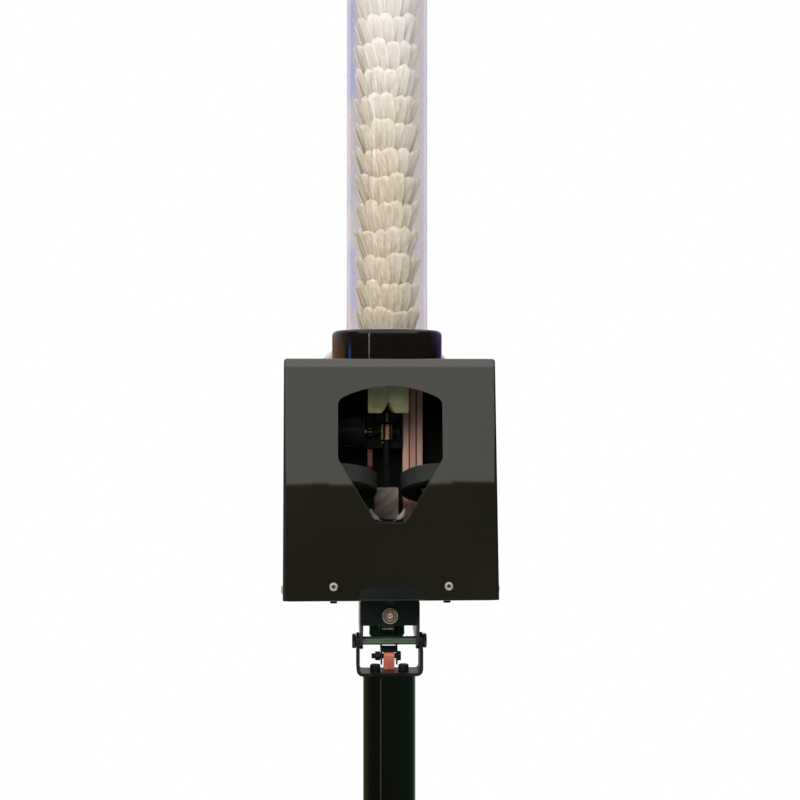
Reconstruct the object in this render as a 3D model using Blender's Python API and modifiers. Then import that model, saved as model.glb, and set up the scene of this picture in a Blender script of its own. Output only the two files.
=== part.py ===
# Badminton serving machine on a height-adjustable stand.
# Frame: X to the right as seen from the front, Y away from the player, Z up.
# The origin is on the floor, on the axis of the stand's pole. Lengths are in metres.

import bmesh
import bpy
import math
from mathutils import Vector

MM = 0.001

# Clearances
FIT = 0.3 * MM                 # between pieces that touch or slide
RUN = 1.0 * MM                 # beside pieces that swing

# Sides of round shapes
LARGE_ROUND = 28
ROUND = 20
MEDIUM_ROUND = 16
SMALL_ROUND = 10

# Stand: folding cross base and outer column
LEG_ANGLES = {"front_left": 225, "front_right": 315, "rear_right": 45, "rear_left": 135}
LEG_REACH = 450 * MM           # pole axis to foot centre
LEG_SIZE = 25 * MM             # square tube
LEG_LIFT = 14 * MM             # floor to the underside of a leg
LEG_PIN_D = 10 * MM
FOOT_D = 40 * MM
FOOT_TAPER = 4 * MM
HUB_PLATE = 5 * MM
HUB_SLEEVE_WALL = 8 * MM
HUB_SLEEVE_H = 75 * MM
HUB_EDGE = 15 * MM             # leg pin to the plate's edge
COLUMN_TOP = 780 * MM
COLUMN_WALL = 2.5 * MM

# Pole and its guides
POLE_D = 50 * MM
POLE_SLIP = 0.5 * MM           # sliding clearance all round the pole
POLE_WALL = 2 * MM
POLE_CAP = 6 * MM
POLE_TOP = 1219 * MM           # floor to the top of the pole, as set in the photo
POLE_IN_COLUMN = 360 * MM
BUSH_WALL = 2 * MM
BUSH_H = 60 * MM
BUSH_FLOOR = 4 * MM
CLAMP_WALL = 11 * MM
CLAMP_GRIP = 35 * MM           # length of the collar around the column
CLAMP_HEAD = 18 * MM           # length of the collar above the column
CLAMP_BOSS_D = 16 * MM
CLAMP_BOSS_REACH = 10 * MM
CLAMP_STUD_D = 10 * MM
CLAMP_KNOB_R = 24 * MM
CLAMP_KNOB_H = 16 * MM

# Tilt joint between pole and head
YOKE_W = 63 * MM
YOKE_DEPTH = 32 * MM
YOKE_WALL = 3 * MM
YOKE_BEND = 6 * MM
YOKE_SCREW_X = 13.5 * MM
YOKE_SCREW_D = 6 * MM
EAR_R = 8 * MM                 # rounded ends of the yoke's and bracket's ears
PIVOT_D = 8 * MM
PIVOT_RISE = 31.5 * MM         # pole top to tilt pivot
PIVOT_HEAD_AF = 13 * MM
PIVOT_HEAD_H = 3.7 * MM
BRACKET_RISE = 43.5 * MM       # tilt pivot to the bracket's top face
BRACKET_WALL = 3 * MM
BRACKET_REACH = 58 * MM        # pole axis to the bracket's rear plate
BRACKET_SKIRT = 27 * MM        # height of the bracket's front plate
LUG_W = 10.2 * MM
LUG_R = 5.5 * MM
LUG_BOLT_D = 5 * MM
LUG_Y = 8 * MM                 # lug bolt, behind the tilt pivot
LUG_DROP = 16 * MM             # lug bolt, below the tilt pivot
LUG_FOOT = 15 * MM             # depth of the lug on the yoke's floor
BAR_GAP = 1.5 * MM             # lug to strut strap
BAR_WALL = 1.5 * MM
BAR_SLOT = 0.8 * MM            # half travel of the trunnion pin across the strut
TRUNNION_Y = 36 * MM           # trunnion pin, behind the tilt pivot
TRUNNION_DROP = 7.3 * MM       # trunnion pin, below the screw's axis
TRUNNION_PIN_D = 5 * MM
TRUNNION_W = 11.5 * MM
TRUNNION_L = 16 * MM
SCREW_RISE = 25.5 * MM         # tilt screw above the tilt pivot, at the front plate
SCREW_SLOPE = math.radians(10) # fall of the screw towards its knob
SCREW_D = 6 * MM
WASHER_D = 16 * MM
KNOB_R = 25 * MM
KNOB_H = 14 * MM
KNOB_LOBES = 5

# Case: hood, tray and rear panel
CASE_W = 200 * MM
CASE_H = 223.8 * MM
CASE_FRONT = 50 * MM           # pole axis to the hood's lower front edge
CASE_LEAN = 35 * MM            # how far the top front edge stands back
CASE_REAR = 135 * MM           # pole axis to the rear
HOOD_WALL = 1.5 * MM
HOOD_BEND = 3 * MM
TRAY_WALL = 2 * MM
TRAY_RIM = 20 * MM
TRAY_DROP = 1.1 * MM           # tray floor below the hood's edge
STUD_D = 7 * MM
STUD_H = 4.4 * MM
WINDOW_HALF = 49 * MM
WINDOW_LOW = 70.9 * MM         # hood's lower edge to the window's bottom
WINDOW_SLANT = 59.2 * MM       # height of the window's slanted sides
WINDOW_FOOT = 13.6 * MM        # half width of the window's bottom
WINDOW_TOP = 197.6 * MM        # hood's lower edge to the top of the arch
WINDOW_ARCH = 100 * MM
WINDOW_SHOULDER = 9 * MM
NOTCH_HALF = 32.8 * MM
NOTCH_TOP_HALF = 28.7 * MM
NOTCH_H = 11.9 * MM
POST_SIZE = 20 * MM
POST_X = 17.6 * MM             # left face of the frame post
POST_Y = 92.5 * MM             # front face of the frame post
SLOT_MOUTH = 6 * MM
SLOT_LIP = 1.8 * MM
SLOT_W = 11 * MM
SLOT_DEPTH = 6 * MM
ROCKER_W = 18.6 * MM
ROCKER_H = 12 * MM
ROCKER_X = 60 * MM
CONTROL_RISE = 40 * MM         # rocker and dial above the hood's lower edge
DIAL_D = 20 * MM
DIAL_H = 14 * MM
DIAL_SHAFT_D = 6 * MM
DIAL_X = 20 * MM
VENTS = 4
VENT_PITCH = 8 * MM
VENT_X = -50 * MM
VENT_L = 60 * MM
VENT_H = 4 * MM

# Launcher: two tilted wheels, each on its own motor
LAUNCH_TILT = math.radians(20)
WHEEL_SIDE = 3.3 * MM          # tread to the hood's side wall
WHEEL_T = 17 * MM
WHEEL_NIP = 22.4 * MM          # gap between the two treads
WHEEL_Y = 16 * MM
WHEEL_RISE = 103.6 * MM        # hood's lower edge to the wheel centres
TYRE_WALL = 12 * MM
HUB_BORE_RIM = 9 * MM
HUB_WEB = 6 * MM
WHEEL_SHAFT_D = 6 * MM
WHEEL_SHAFT_L = 14 * MM
MOTOR_D = 42 * MM
MOTOR_L = 65 * MM
MOTOR_BOSS_D = 16 * MM
FLANGE = 3 * MM
WHEEL_CLEAR = 3 * MM           # wheel to motor flange

# Feed: jaws, pusher and cradle
JAW_W = 19.5 * MM
JAW_GAP = 0.6 * MM             # between the closed jaws
JAW_FRONT = 37 * MM            # hopper axis to the jaws' front face
JAW_BACK = 29 * MM             # hopper axis to the jaws' rear face
JAW_UNDER_CORK = 20 * MM
JAW_OVER_SEAT = 10.2 * MM      # cork's lowest point to the jaws' top
JAW_EAR = 3.6 * MM
JAW_EAR_T = 2.4 * MM
JAW_TRAVEL = 20 * MM
NOTCH_W = 7.2 * MM
NOTCH_RISE = 13.1 * MM
RAIL = 2 * MM
RAIL_END = 4 * MM
SHAFT_D = 8 * MM
SHAFT_Y = 78 * MM
SHAFT_DROP = 19.4 * MM         # jaws' underside to the pusher shaft
BUSH_D = 15 * MM
BUSH_L = 11.3 * MM
ROD_D = 6 * MM
HEAD_W = 24.5 * MM
HEAD_T = 10 * MM
HEAD_H = 32 * MM
HEAD_OVER_LIP = 1.2 * MM       # trough's front lip to the pusher head's lowest point
HEAD_ROUND = 1.5 * MM
SHAFT_STUB = 2.7 * MM          # shaft beyond the lever
SHAFT_NUT_T = 4 * MM
LEVER_X = 16.5 * MM
LEVER_T = 5 * MM
LEVER_W = 8 * MM
LEVER_L = 36 * MM
GEARMOTOR_D = 32 * MM
GEARMOTOR_L = 50 * MM
EAR_T = 2.5 * MM
TROUGH_R = 15 * MM
TROUGH_WALL = 2 * MM
TROUGH_ARC = math.radians(80)
TROUGH_FRONT = 46 * MM
TROUGH_L = 54 * MM
TROUGH_RISE = 63.4 * MM        # hood's lower edge to the trough's front lip
TROUGH_STEM = 12 * MM

# Electrical boxes on the tray
BATTERY = (68 * MM, 74 * MM, 50 * MM)
BATTERY_SIDE = 6.5 * MM        # battery to the hood's side wall
BATTERY_Y = 90 * MM
BATTERY_ROUND = 4 * MM
BOARD_L = 66 * MM
BOARD_T = 1.6 * MM
BOARD_SIDE = 5.5 * MM          # board to the hood's side wall
BOARD_POST_GAP = 5.4 * MM      # board to the frame post
BOARD_Y = 92 * MM
STANDOFF_H = 6 * MM
STANDOFF_D = 6 * MM

# Hopper and shuttlecocks
HOPPER_Y = 57 * MM
HOPPER_D = 80 * MM
HOPPER_WALL = 3 * MM
HOPPER_L = 450 * MM
COLLAR_WALL = 14.5 * MM
COLLAR_H = 29.2 * MM
COLLAR_ROUND = 4.5 * MM
COLLAR_LEDGE = 3.5 * MM
HANDLE_SPAN = 65.5 * MM
HANDLE_RISE = 22 * MM
HANDLE_SLOPE = 23.5 * MM
HANDLE_T = 5 * MM
HANDLE_W = 16 * MM
SHUTTLES = 13
SHUTTLE_L = 85 * MM
CORK_D = 26 * MM
CORK_H = 25.8 * MM
SKIRT_D = 66 * MM
SKIRT_NECK = 21 * MM
SKIRT_ROOT = 4 * MM            # feather roots inside the cork
SKIRT_WALL = 0.8 * MM
CORK_DROP = 31.8 * MM          # hood's top to the lowest cork's lowest point
FEATHERS = 16
FEATHER_TIP = 9 * MM
FEATHER_FOLD = 0.7 * MM

# Places that follow from the sizes above
SLEEVE_R = (POLE_D / 2 + FIT + BUSH_WALL + FIT + COLUMN_WALL + FIT) + HUB_SLEEVE_WALL
LEG_PIN_R = SLEEVE_R + LEG_SIZE / 2 + RUN + 2 * FIT
COLUMN_BORE = POLE_D + 2 * (FIT + BUSH_WALL + FIT)
COLUMN_D = COLUMN_BORE + 2 * COLUMN_WALL
HUB_FLOOR = LEG_LIFT - RUN
PIVOT_Z = POLE_TOP + PIVOT_RISE
BRACKET_TOP = PIVOT_Z + BRACKET_RISE
TRAY_BOTTOM = BRACKET_TOP + FIT
TRAY_FLOOR = TRAY_BOTTOM + TRAY_WALL
CASE_BOTTOM = TRAY_BOTTOM + TRAY_DROP
CASE_TOP = CASE_BOTTOM + CASE_H
CASE_IN_TOP = CASE_TOP - HOOD_WALL
CASE_IN_HALF = CASE_W / 2 - HOOD_WALL
PANEL_FRONT = CASE_REAR - HOOD_WALL
ON_TRAY = TRAY_FLOOR + FIT
WHEEL_R = (CASE_IN_HALF - WHEEL_SIDE - WHEEL_NIP / 2) / 2
WHEEL_X = WHEEL_R + WHEEL_NIP / 2
WHEEL_Z = CASE_BOTTOM + WHEEL_RISE
CORK_LOW = CASE_TOP - CORK_DROP
JAW_TOP = CORK_LOW + JAW_OVER_SEAT
JAW_BOTTOM = CORK_LOW - JAW_UNDER_CORK
SHAFT_Z = JAW_BOTTOM - SHAFT_DROP
HEAD_TOP = SHAFT_Z - CASE_BOTTOM - TROUGH_RISE - HEAD_OVER_LIP - HEAD_H
BATTERY_X = CASE_IN_HALF - BATTERY_SIDE - BATTERY[0] / 2
BOARD_IN = POST_X + POST_SIZE + BOARD_POST_GAP
BOARD_OUT = CASE_IN_HALF - BOARD_SIDE
CONTROL_Z = CASE_BOTTOM + CONTROL_RISE
TUBE_FOOT = CASE_TOP + COLLAR_LEDGE + FIT
BAR_X = LUG_W / 2 + BAR_GAP


def screw_height(along_y):
    """Height of the tilt screw's axis above the pivot at a distance behind the pole's axis."""
    return SCREW_RISE - (along_y + YOKE_DEPTH / 2) * math.tan(SCREW_SLOPE)


TRUNNION_RISE = screw_height(TRUNNION_Y) - TRUNNION_DROP

# Colour, roughness and metallic value of each finish
GLOSS_BLACK = ((0.012, 0.011, 0.009, 1), 0.12, 0.0)
SATIN_BLACK = ((0.010, 0.010, 0.010, 1), 0.45, 0.0)
BLACK_RUBBER = ((0.013, 0.013, 0.013, 1), 0.85, 0.0)
TREAD_GREY = ((0.045, 0.050, 0.046, 1), 0.80, 0.0)
CLEAR_PLASTIC = ((0.90, 0.89, 0.92, 0.25), 0.05, 0.0)
GREEN_SILICONE = ((0.22, 0.25, 0.12, 1), 0.35, 0.0)
BRASS = ((0.60, 0.36, 0.15, 1), 0.25, 1.0)
STEEL = ((0.55, 0.50, 0.45, 1), 0.30, 1.0)
ALUMINIUM = ((0.62, 0.50, 0.46, 1), 0.40, 1.0)
SATIN_ALUMINIUM = ((0.50, 0.48, 0.47, 1), 0.35, 1.0)
RED_ANODISED = ((0.58, 0.16, 0.10, 1), 0.40, 0.6)
GREY_PLASTIC = ((0.55, 0.56, 0.57, 1), 0.50, 0.0)
BOARD_GREEN = ((0.02, 0.12, 0.05, 1), 0.50, 0.0)
BATTERY_BLUE = ((0.03, 0.07, 0.20, 1), 0.40, 0.0)
FEATHER = ((0.80, 0.74, 0.60, 1), 0.80, 0.0)


def clear_scene():
    for item in list(bpy.data.objects):
        bpy.data.objects.remove(item, do_unlink=True)


def new_collection(name):
    group = bpy.data.collections.new(name)
    bpy.context.scene.collection.children.link(group)
    return group


clear_scene()
PARTS = new_collection("badminton_serving_machine")
CUTTERS = new_collection("cutters")


# Building helpers

def new_material(name, finish):
    colour, roughness, metallic = finish
    material = bpy.data.materials.new(name)
    material.use_nodes = True
    shader = material.node_tree.nodes["Principled BSDF"]
    shader.inputs["Base Color"].default_value = colour[:3] + (1,)
    shader.inputs["Alpha"].default_value = colour[3]
    shader.inputs["Roughness"].default_value = roughness
    shader.inputs["Metallic"].default_value = metallic
    material.diffuse_color = colour
    return material


def link_mesh(name, mesh, at=(0, 0, 0), turn=(0, 0, 0)):
    item = bpy.data.objects.new(name, mesh)
    PARTS.objects.link(item)
    item.location = at
    item.rotation_euler = turn
    return item


def from_bmesh(name, shape, at=(0, 0, 0), turn=(0, 0, 0), smooth=False):
    bmesh.ops.recalc_face_normals(shape, faces=shape.faces)
    mesh = bpy.data.meshes.new(name)
    shape.to_mesh(mesh)
    shape.free()
    if smooth:
        mesh.shade_smooth()
        mesh.set_sharp_from_angle(angle=math.radians(35))
    return link_mesh(name, mesh, at, turn)


def box(name, low, high, at=(0, 0, 0), turn=(0, 0, 0)):
    """Box between two corners given relative to the place."""
    shape = bmesh.new()
    bmesh.ops.create_cube(shape, size=1)
    for corner in shape.verts:
        for axis in range(3):
            corner.co[axis] = high[axis] if corner.co[axis] > 0 else low[axis]
    return from_bmesh(name, shape, at, turn)


TURN_TO = {
    "X": (0, math.pi / 2, 0),
    "Y": (-math.pi / 2, 0, 0),
    "Z": (0, 0, 0),
}


def rod(name, diameter, start, length, along="Z", sides=ROUND, turn=None):
    """Cylinder from a start point along one axis."""
    shape = bmesh.new()
    bmesh.ops.create_cone(shape, cap_ends=True, segments=sides, radius1=diameter / 2,
                          radius2=diameter / 2, depth=length)
    bmesh.ops.translate(shape, verts=shape.verts, vec=(0, 0, length / 2))
    return from_bmesh(name, shape, start, turn or TURN_TO[along], smooth=sides > 8)


def turned(name, profile, at=(0, 0, 0), turn=(0, 0, 0), steps=ROUND, ring=False):
    """Solid of revolution about local Z from (radius, height) points, top to bottom outside."""
    mesh = bpy.data.meshes.new(name)
    points = [(radius, 0, height) for radius, height in profile]
    edges = [(i, i + 1) for i in range(len(points) - 1)]
    if ring:
        edges.append((len(points) - 1, 0))
    mesh.from_pydata(points, edges, [])
    item = link_mesh(name, mesh, at, turn)
    screw = item.modifiers.new("turn", 'SCREW')
    screw.steps = steps
    screw.render_steps = steps
    screw.use_merge_vertices = True
    screw.merge_threshold = 0.00001
    screw.use_smooth_shade = True
    return item


def tube(name, outer, inner, low, high, at=(0, 0, 0), turn=(0, 0, 0), steps=ROUND):
    """Ring between two diameters."""
    profile = [(outer / 2, high), (outer / 2, low), (inner / 2, low), (inner / 2, high)]
    return turned(name, profile, at, turn, steps, ring=True)


PLANES = {
    "XY": (0, 0, 0),
    "XZ": (math.pi / 2, 0, 0),
    "YZ": (math.pi / 2, 0, math.pi / 2),
}


def plate(name, outline, thickness, plane="XY", at=(0, 0, 0), turn=None):
    """Flat outline given thickness, half to each side of its plane."""
    curve = bpy.data.curves.new(name, 'CURVE')
    curve.dimensions = '2D'
    curve.fill_mode = 'BOTH'
    curve.extrude = thickness / 2
    spline = curve.splines.new('POLY')
    spline.points.add(len(outline) - 1)
    for point, (across, up) in zip(spline.points, outline):
        point.co = (across, up, 0, 1)
    spline.use_cyclic_u = True
    drawn = bpy.data.objects.new(name + "_outline", curve)
    PARTS.objects.link(drawn)
    drawn.location = at
    drawn.rotation_euler = turn or PLANES[plane]
    return to_mesh(name, drawn)


def to_mesh(name, drawn):
    """Mesh copy of an evaluated object in the same place, which replaces it."""
    bpy.context.view_layer.update()
    ready = drawn.evaluated_get(bpy.context.evaluated_depsgraph_get())
    mesh = bpy.data.meshes.new_from_object(ready)
    place = drawn.matrix_world.copy()
    bpy.data.objects.remove(drawn, do_unlink=True)
    shape = bmesh.new()
    shape.from_mesh(mesh)
    bmesh.ops.remove_doubles(shape, verts=shape.verts, dist=0.000001)
    bmesh.ops.recalc_face_normals(shape, faces=shape.faces)
    shape.to_mesh(mesh)
    shape.free()
    mesh.name = name
    item = bpy.data.objects.new(name, mesh)
    PARTS.objects.link(item)
    item.matrix_world = place
    return item


def arc(across, up, radius, start, end, steps):
    """Points on an arc, angles in degrees."""
    points = []
    for i in range(steps + 1):
        angle = math.radians(start + (end - start) * i / steps)
        points.append((across + radius * math.cos(angle), up + radius * math.sin(angle)))
    return points


def rounded(corners, steps=3):
    """Outline through (across, up, radius) corners, each rounded by its radius."""
    outline = []
    for i, (u, v, radius) in enumerate(corners):
        if radius <= 0:
            outline.append((u, v))
            continue
        corner = Vector((u, v))
        back = (Vector(corners[i - 1][:2]) - corner).normalized()
        ahead = (Vector(corners[(i + 1) % len(corners)][:2]) - corner).normalized()
        half = back.angle(ahead) / 2
        centre = corner + (back + ahead).normalized() * radius / math.sin(half)
        first = corner + back * radius / math.tan(half) - centre
        last = corner + ahead * radius / math.tan(half) - centre
        begin = math.atan2(first.y, first.x)
        sweep = (math.atan2(last.y, last.x) - begin + math.pi) % (2 * math.pi) - math.pi
        for step in range(steps + 1):
            angle = begin + sweep * step / steps
            outline.append((centre.x + radius * math.cos(angle), centre.y + radius * math.sin(angle)))
    return outline


def use_tool(item, tool, operation, name):
    for group in list(tool.users_collection):
        group.objects.unlink(tool)
    CUTTERS.objects.link(tool)
    tool.display_type = 'WIRE'
    tool.hide_render = True
    tool.name = item.name + "_" + name
    change = item.modifiers.new(name, 'BOOLEAN')
    change.operation = operation
    change.solver = 'EXACT'
    change.object = tool
    return item


def cut(item, tool, name="cut"):
    return use_tool(item, tool, 'DIFFERENCE', name)


def join(item, tool, name="join"):
    return use_tool(item, tool, 'UNION', name)


def keep(item, tool, name="keep"):
    return use_tool(item, tool, 'INTERSECT', name)


def bevel(item, width, segments=2, angle=40):
    edge = item.modifiers.new("edges", 'BEVEL')
    edge.width = width
    edge.segments = segments
    edge.limit_method = 'ANGLE'
    edge.angle_limit = math.radians(angle)
    return item


def joint_frame(name, at, turn=(0, 0, 0)):
    empty = bpy.data.objects.new(name, None)
    PARTS.objects.link(empty)
    empty.location = at
    empty.rotation_euler = turn
    empty.empty_display_size = 0.03
    bpy.context.view_layer.update()
    return empty


def ride(item, frame):
    """Parent a piece to its joint's frame and leave it where it stands."""
    bpy.context.view_layer.update()
    item.parent = frame
    item.matrix_parent_inverse = frame.matrix_world.inverted()
    return item


def done(item, finish, frame=None):
    """Give a finished piece its material and its place in the tree of frames."""
    item.data.materials.clear()
    item.data.materials.append(new_material(item.name, finish))
    if frame is not None:
        ride(item, frame)
        for change in item.modifiers:
            if change.type == 'BOOLEAN':
                ride(change.object, frame)
    return item


def hex_prism(name, across_flats, start, length):
    return rod(name, across_flats / math.cos(math.pi / 6), start, length, "X", sides=6)


def lobed_outline(radius, lobes, steps_per_lobe=5, depth=0.13):
    """Grip outline of a star knob: a circle whose radius swells once a lobe."""
    outline = []
    count = lobes * steps_per_lobe
    for i in range(count):
        angle = 2 * math.pi * i / count
        swell = radius * (1 - depth + depth * math.cos(lobes * angle))
        outline.append((swell * math.sin(angle), swell * math.cos(angle)))
    return outline


# Stand

def make_column():
    column = tube("column_tube", COLUMN_D, COLUMN_BORE, HUB_FLOOR + FIT, COLUMN_TOP)
    return done(column, GLOSS_BLACK)


def leg_pin_place(angle, height):
    turn = math.radians(angle)
    return (LEG_PIN_R * math.cos(turn), LEG_PIN_R * math.sin(turn), height)


def make_base_hub():
    top_plate = LEG_LIFT + LEG_SIZE + RUN
    half = LEG_PIN_R * math.sqrt(0.5) + HUB_EDGE
    square = rounded([(half, half, HUB_EDGE), (-half, half, HUB_EDGE),
                      (-half, -half, HUB_EDGE), (half, -half, HUB_EDGE)], steps=3)
    hub = plate("base_hub", square, HUB_PLATE, at=(0, 0, HUB_FLOOR - HUB_PLATE / 2))
    upper = plate("upper_plate", square, HUB_PLATE, at=(0, 0, top_plate + HUB_PLATE / 2))
    join(hub, upper, "upper")
    overlap = HUB_PLATE / 2
    sleeve = rod("sleeve", 2 * SLEEVE_R, (0, 0, HUB_FLOOR - overlap), HUB_SLEEVE_H)
    join(hub, sleeve, "sleeve")
    pin_h = LEG_SIZE + 2 * RUN + 2 * overlap
    for name, angle in LEG_ANGLES.items():
        pin = rod(name, LEG_PIN_D, leg_pin_place(angle, HUB_FLOOR - overlap), pin_h, sides=SMALL_ROUND)
        join(hub, pin, "pin_" + name)
    bore = rod("bore", COLUMN_D + 2 * FIT, (0, 0, HUB_FLOOR), HUB_SLEEVE_H + HUB_PLATE)
    cut(hub, bore, "bore")
    drain = rod("drain", COLUMN_BORE - 2 * HUB_PLATE, (0, 0, 0), HUB_SLEEVE_H / 2)
    cut(hub, drain, "drain")
    return done(hub, SATIN_BLACK)


def make_leg(side, angle):
    place = leg_pin_place(angle, 0)
    turn = math.radians(angle)
    frame = joint_frame("leg_" + side + "_pin", place, (0, 0, turn))
    reach = LEG_REACH - LEG_PIN_R
    half = LEG_SIZE / 2
    end = reach + half
    corner = LEG_SIZE / 6
    outline = arc(0, 0, half, 90, 270, 6)
    outline += rounded([(0, -half, 0), (end, -half, corner), (end, half, corner), (0, half, 0)], 2)[1:-1]
    middle = LEG_LIFT + half
    leg = plate("leg_" + side, outline, LEG_SIZE, at=(place[0], place[1], middle), turn=(0, 0, turn))
    foot_at = (LEG_REACH * math.cos(turn), LEG_REACH * math.sin(turn), 0)
    foot = turned("foot", [(0, LEG_LIFT + half), (FOOT_D / 2 - FOOT_TAPER, LEG_LIFT + half),
                           (FOOT_D / 2 - FOOT_TAPER, LEG_LIFT), (FOOT_D / 2, FOOT_TAPER),
                           (FOOT_D / 2, 0), (0, 0)], foot_at, steps=MEDIUM_ROUND)
    join(leg, foot, "foot")
    hole = rod("hole", LEG_PIN_D + 2 * FIT, (place[0], place[1], 0), LEG_SIZE * 2, sides=SMALL_ROUND)
    cut(leg, hole, "hole")
    return done(leg, SATIN_BLACK, frame)


def make_clamp():
    low = COLUMN_TOP - CLAMP_GRIP
    high = COLUMN_TOP + FIT + CLAMP_HEAD
    bore = COLUMN_D + 2 * FIT
    outer = bore + 2 * CLAMP_WALL
    throat = POLE_D + 2 * POLE_SLIP
    step = COLUMN_TOP + FIT
    collar = turned("clamp_collar", [(outer / 2, high), (outer / 2, low), (bore / 2, low),
                                     (bore / 2, step), (throat / 2, step), (throat / 2, high)],
                    ring=True)
    boss_z = step + CLAMP_HEAD / 2
    boss_from = throat / 2 + CLAMP_WALL / 2
    boss_to = outer / 2 + CLAMP_BOSS_REACH
    join(collar, rod("boss", CLAMP_BOSS_D, (boss_from, 0, boss_z), boss_to - boss_from, "X"), "boss")
    stud_hole = rod("hole", CLAMP_STUD_D + 2 * FIT, (0, 0, boss_z), boss_to + CLAMP_WALL, "X", SMALL_ROUND)
    cut(collar, stud_hole, "stud_hole")
    done(collar, SATIN_BLACK)

    frame = joint_frame("clamp_knob_axis", (boss_to, 0, boss_z))
    stud_tip = POLE_D / 2 + FIT
    grip_at = boss_to + FIT + CLAMP_KNOB_H / 2
    knob = plate("clamp_knob", lobed_outline(CLAMP_KNOB_R, KNOB_LOBES), CLAMP_KNOB_H, "YZ",
                 (grip_at, 0, boss_z))
    bevel(knob, 1.5 * MM, 1)
    stud = rod("stud", CLAMP_STUD_D, (stud_tip, 0, boss_z), grip_at - stud_tip, "X", SMALL_ROUND)
    join(knob, stud, "stud")
    return done(knob, BLACK_RUBBER, frame)


# Pole, its guide bush and the yoke

def make_pole():
    pole_bottom = COLUMN_TOP - POLE_IN_COLUMN
    guide = joint_frame("height_slide", (0, 0, pole_bottom))
    bush_low = pole_bottom - BUSH_FLOOR - FIT
    bush_out = POLE_D / 2 + FIT + BUSH_WALL
    bush_in = POLE_D / 2 + POLE_SLIP
    bush_high = bush_low + BUSH_H
    bush_hole = POLE_D / 2 - 2 * POLE_WALL
    bush = turned("guide_bush", [(bush_out, bush_high), (bush_out, bush_low), (bush_hole, bush_low),
                                 (bush_hole, pole_bottom - FIT), (bush_in, pole_bottom - FIT),
                                 (bush_in, bush_high)], ring=True)
    done(bush, GREY_PLASTIC, guide)

    frame = joint_frame("pole_turn", (0, 0, POLE_TOP))
    top = POLE_TOP - FIT
    inner = POLE_D / 2 - POLE_WALL
    pole = turned("inner_pole", [(0, top), (POLE_D / 2 - POLE_WALL / 2, top),
                                 (POLE_D / 2, top - POLE_WALL / 2), (POLE_D / 2, pole_bottom),
                                 (inner, pole_bottom), (inner, top - POLE_CAP),
                                 (0, top - POLE_CAP)], steps=ROUND)
    done(pole, GLOSS_BLACK, frame)
    return frame


def ear_outline(half_depth, rise, fall, steps=6):
    """Side view of an ear about its pivot, which is the local origin; rise points to the root."""
    tip = arc(0, 0, EAR_R, 0, -180, steps) if rise > 0 else arc(0, 0, EAR_R, 0, 180, steps)
    root = math.copysign(fall, rise)
    return tip + [(-half_depth, root), (-half_depth, rise), (half_depth, rise), (half_depth, root)]


def make_yoke(frame):
    half = YOKE_W / 2
    ear_top = PIVOT_RISE + EAR_R
    inner = half - YOKE_WALL
    bend_in = max(YOKE_BEND - YOKE_WALL, 0.5 * MM)
    u_bend = rounded([(-half, 0, YOKE_BEND), (half, 0, YOKE_BEND), (half, ear_top, 0),
                      (inner, ear_top, 0), (inner, YOKE_WALL, bend_in),
                      (-inner, YOKE_WALL, bend_in), (-inner, ear_top, 0), (-half, ear_top, 0)], 3)
    yoke = plate("yoke", u_bend, YOKE_DEPTH, "XZ", (0, 0, POLE_TOP))
    side = ear_outline(YOKE_DEPTH / 2, -PIVOT_RISE - RUN, EAR_R + RUN)
    mask = plate("ears", side, YOKE_W * 1.2, "YZ", (0, 0, PIVOT_Z))
    keep(yoke, mask, "ears")
    hole = rod("hole", PIVOT_D + 2 * FIT, (-YOKE_W, 0, PIVOT_Z), 2 * YOKE_W, "X")
    cut(yoke, hole, "pivot_hole")
    for side_name, x in (("left", -YOKE_SCREW_X), ("right", YOKE_SCREW_X)):
        screw_hole = rod("hole", YOKE_SCREW_D + 2 * FIT, (x, 0, POLE_TOP - YOKE_WALL),
                         3 * YOKE_WALL, sides=SMALL_ROUND)
        cut(yoke, screw_hole, "screw_hole_" + side_name)
    done(yoke, GLOSS_BLACK, frame)

    reach = half + FIT
    pivot = rod("pivot_bolt", PIVOT_D, (-reach - PIVOT_HEAD_H / 2, 0, PIVOT_Z),
                2 * reach + PIVOT_HEAD_H, "X")
    join(pivot, hex_prism("head", PIVOT_HEAD_AF, (-reach - PIVOT_HEAD_H, 0, PIVOT_Z), PIVOT_HEAD_H),
         "head")
    join(pivot, hex_prism("nut", PIVOT_HEAD_AF, (reach, 0, PIVOT_Z), PIVOT_HEAD_H), "nut")
    return done(pivot, STEEL, frame)


def make_lug(frame):
    lug_z = PIVOT_Z - LUG_DROP
    foot = POLE_TOP + YOKE_WALL + FIT - lug_z
    outline = arc(0, 0, LUG_R, 0, 180, 8) + [(-LUG_R, foot), (LUG_FOOT - LUG_R - FIT, foot)]
    lug = plate("tilt_lug", outline, LUG_W, "YZ", (0, LUG_Y, lug_z))
    hole = rod("hole", LUG_BOLT_D + 2 * FIT, (-LUG_W, LUG_Y, lug_z), 2 * LUG_W, "X", SMALL_ROUND)
    cut(lug, hole, "bolt_hole")
    done(lug, RED_ANODISED, frame)

    strap_out = BAR_X + BAR_WALL + FIT
    nut_af = 1.6 * LUG_BOLT_D
    nut_l = LUG_BOLT_D
    head_l = 0.6 * LUG_BOLT_D
    left = -strap_out - nut_l - 0.7 * LUG_BOLT_D
    bolt = rod("lug_bolt", LUG_BOLT_D, (left, LUG_Y, lug_z), strap_out + head_l / 2 - left, "X", SMALL_ROUND)
    join(bolt, hex_prism("nut", nut_af, (-strap_out - nut_l, LUG_Y, lug_z), nut_l), "nut")
    join(bolt, rod("head", nut_af, (strap_out, LUG_Y, lug_z), head_l, "X", SMALL_ROUND), "head")
    return done(bolt, SATIN_BLACK, frame)


# Tilt strut, trunnion nut, screw and knob

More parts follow.
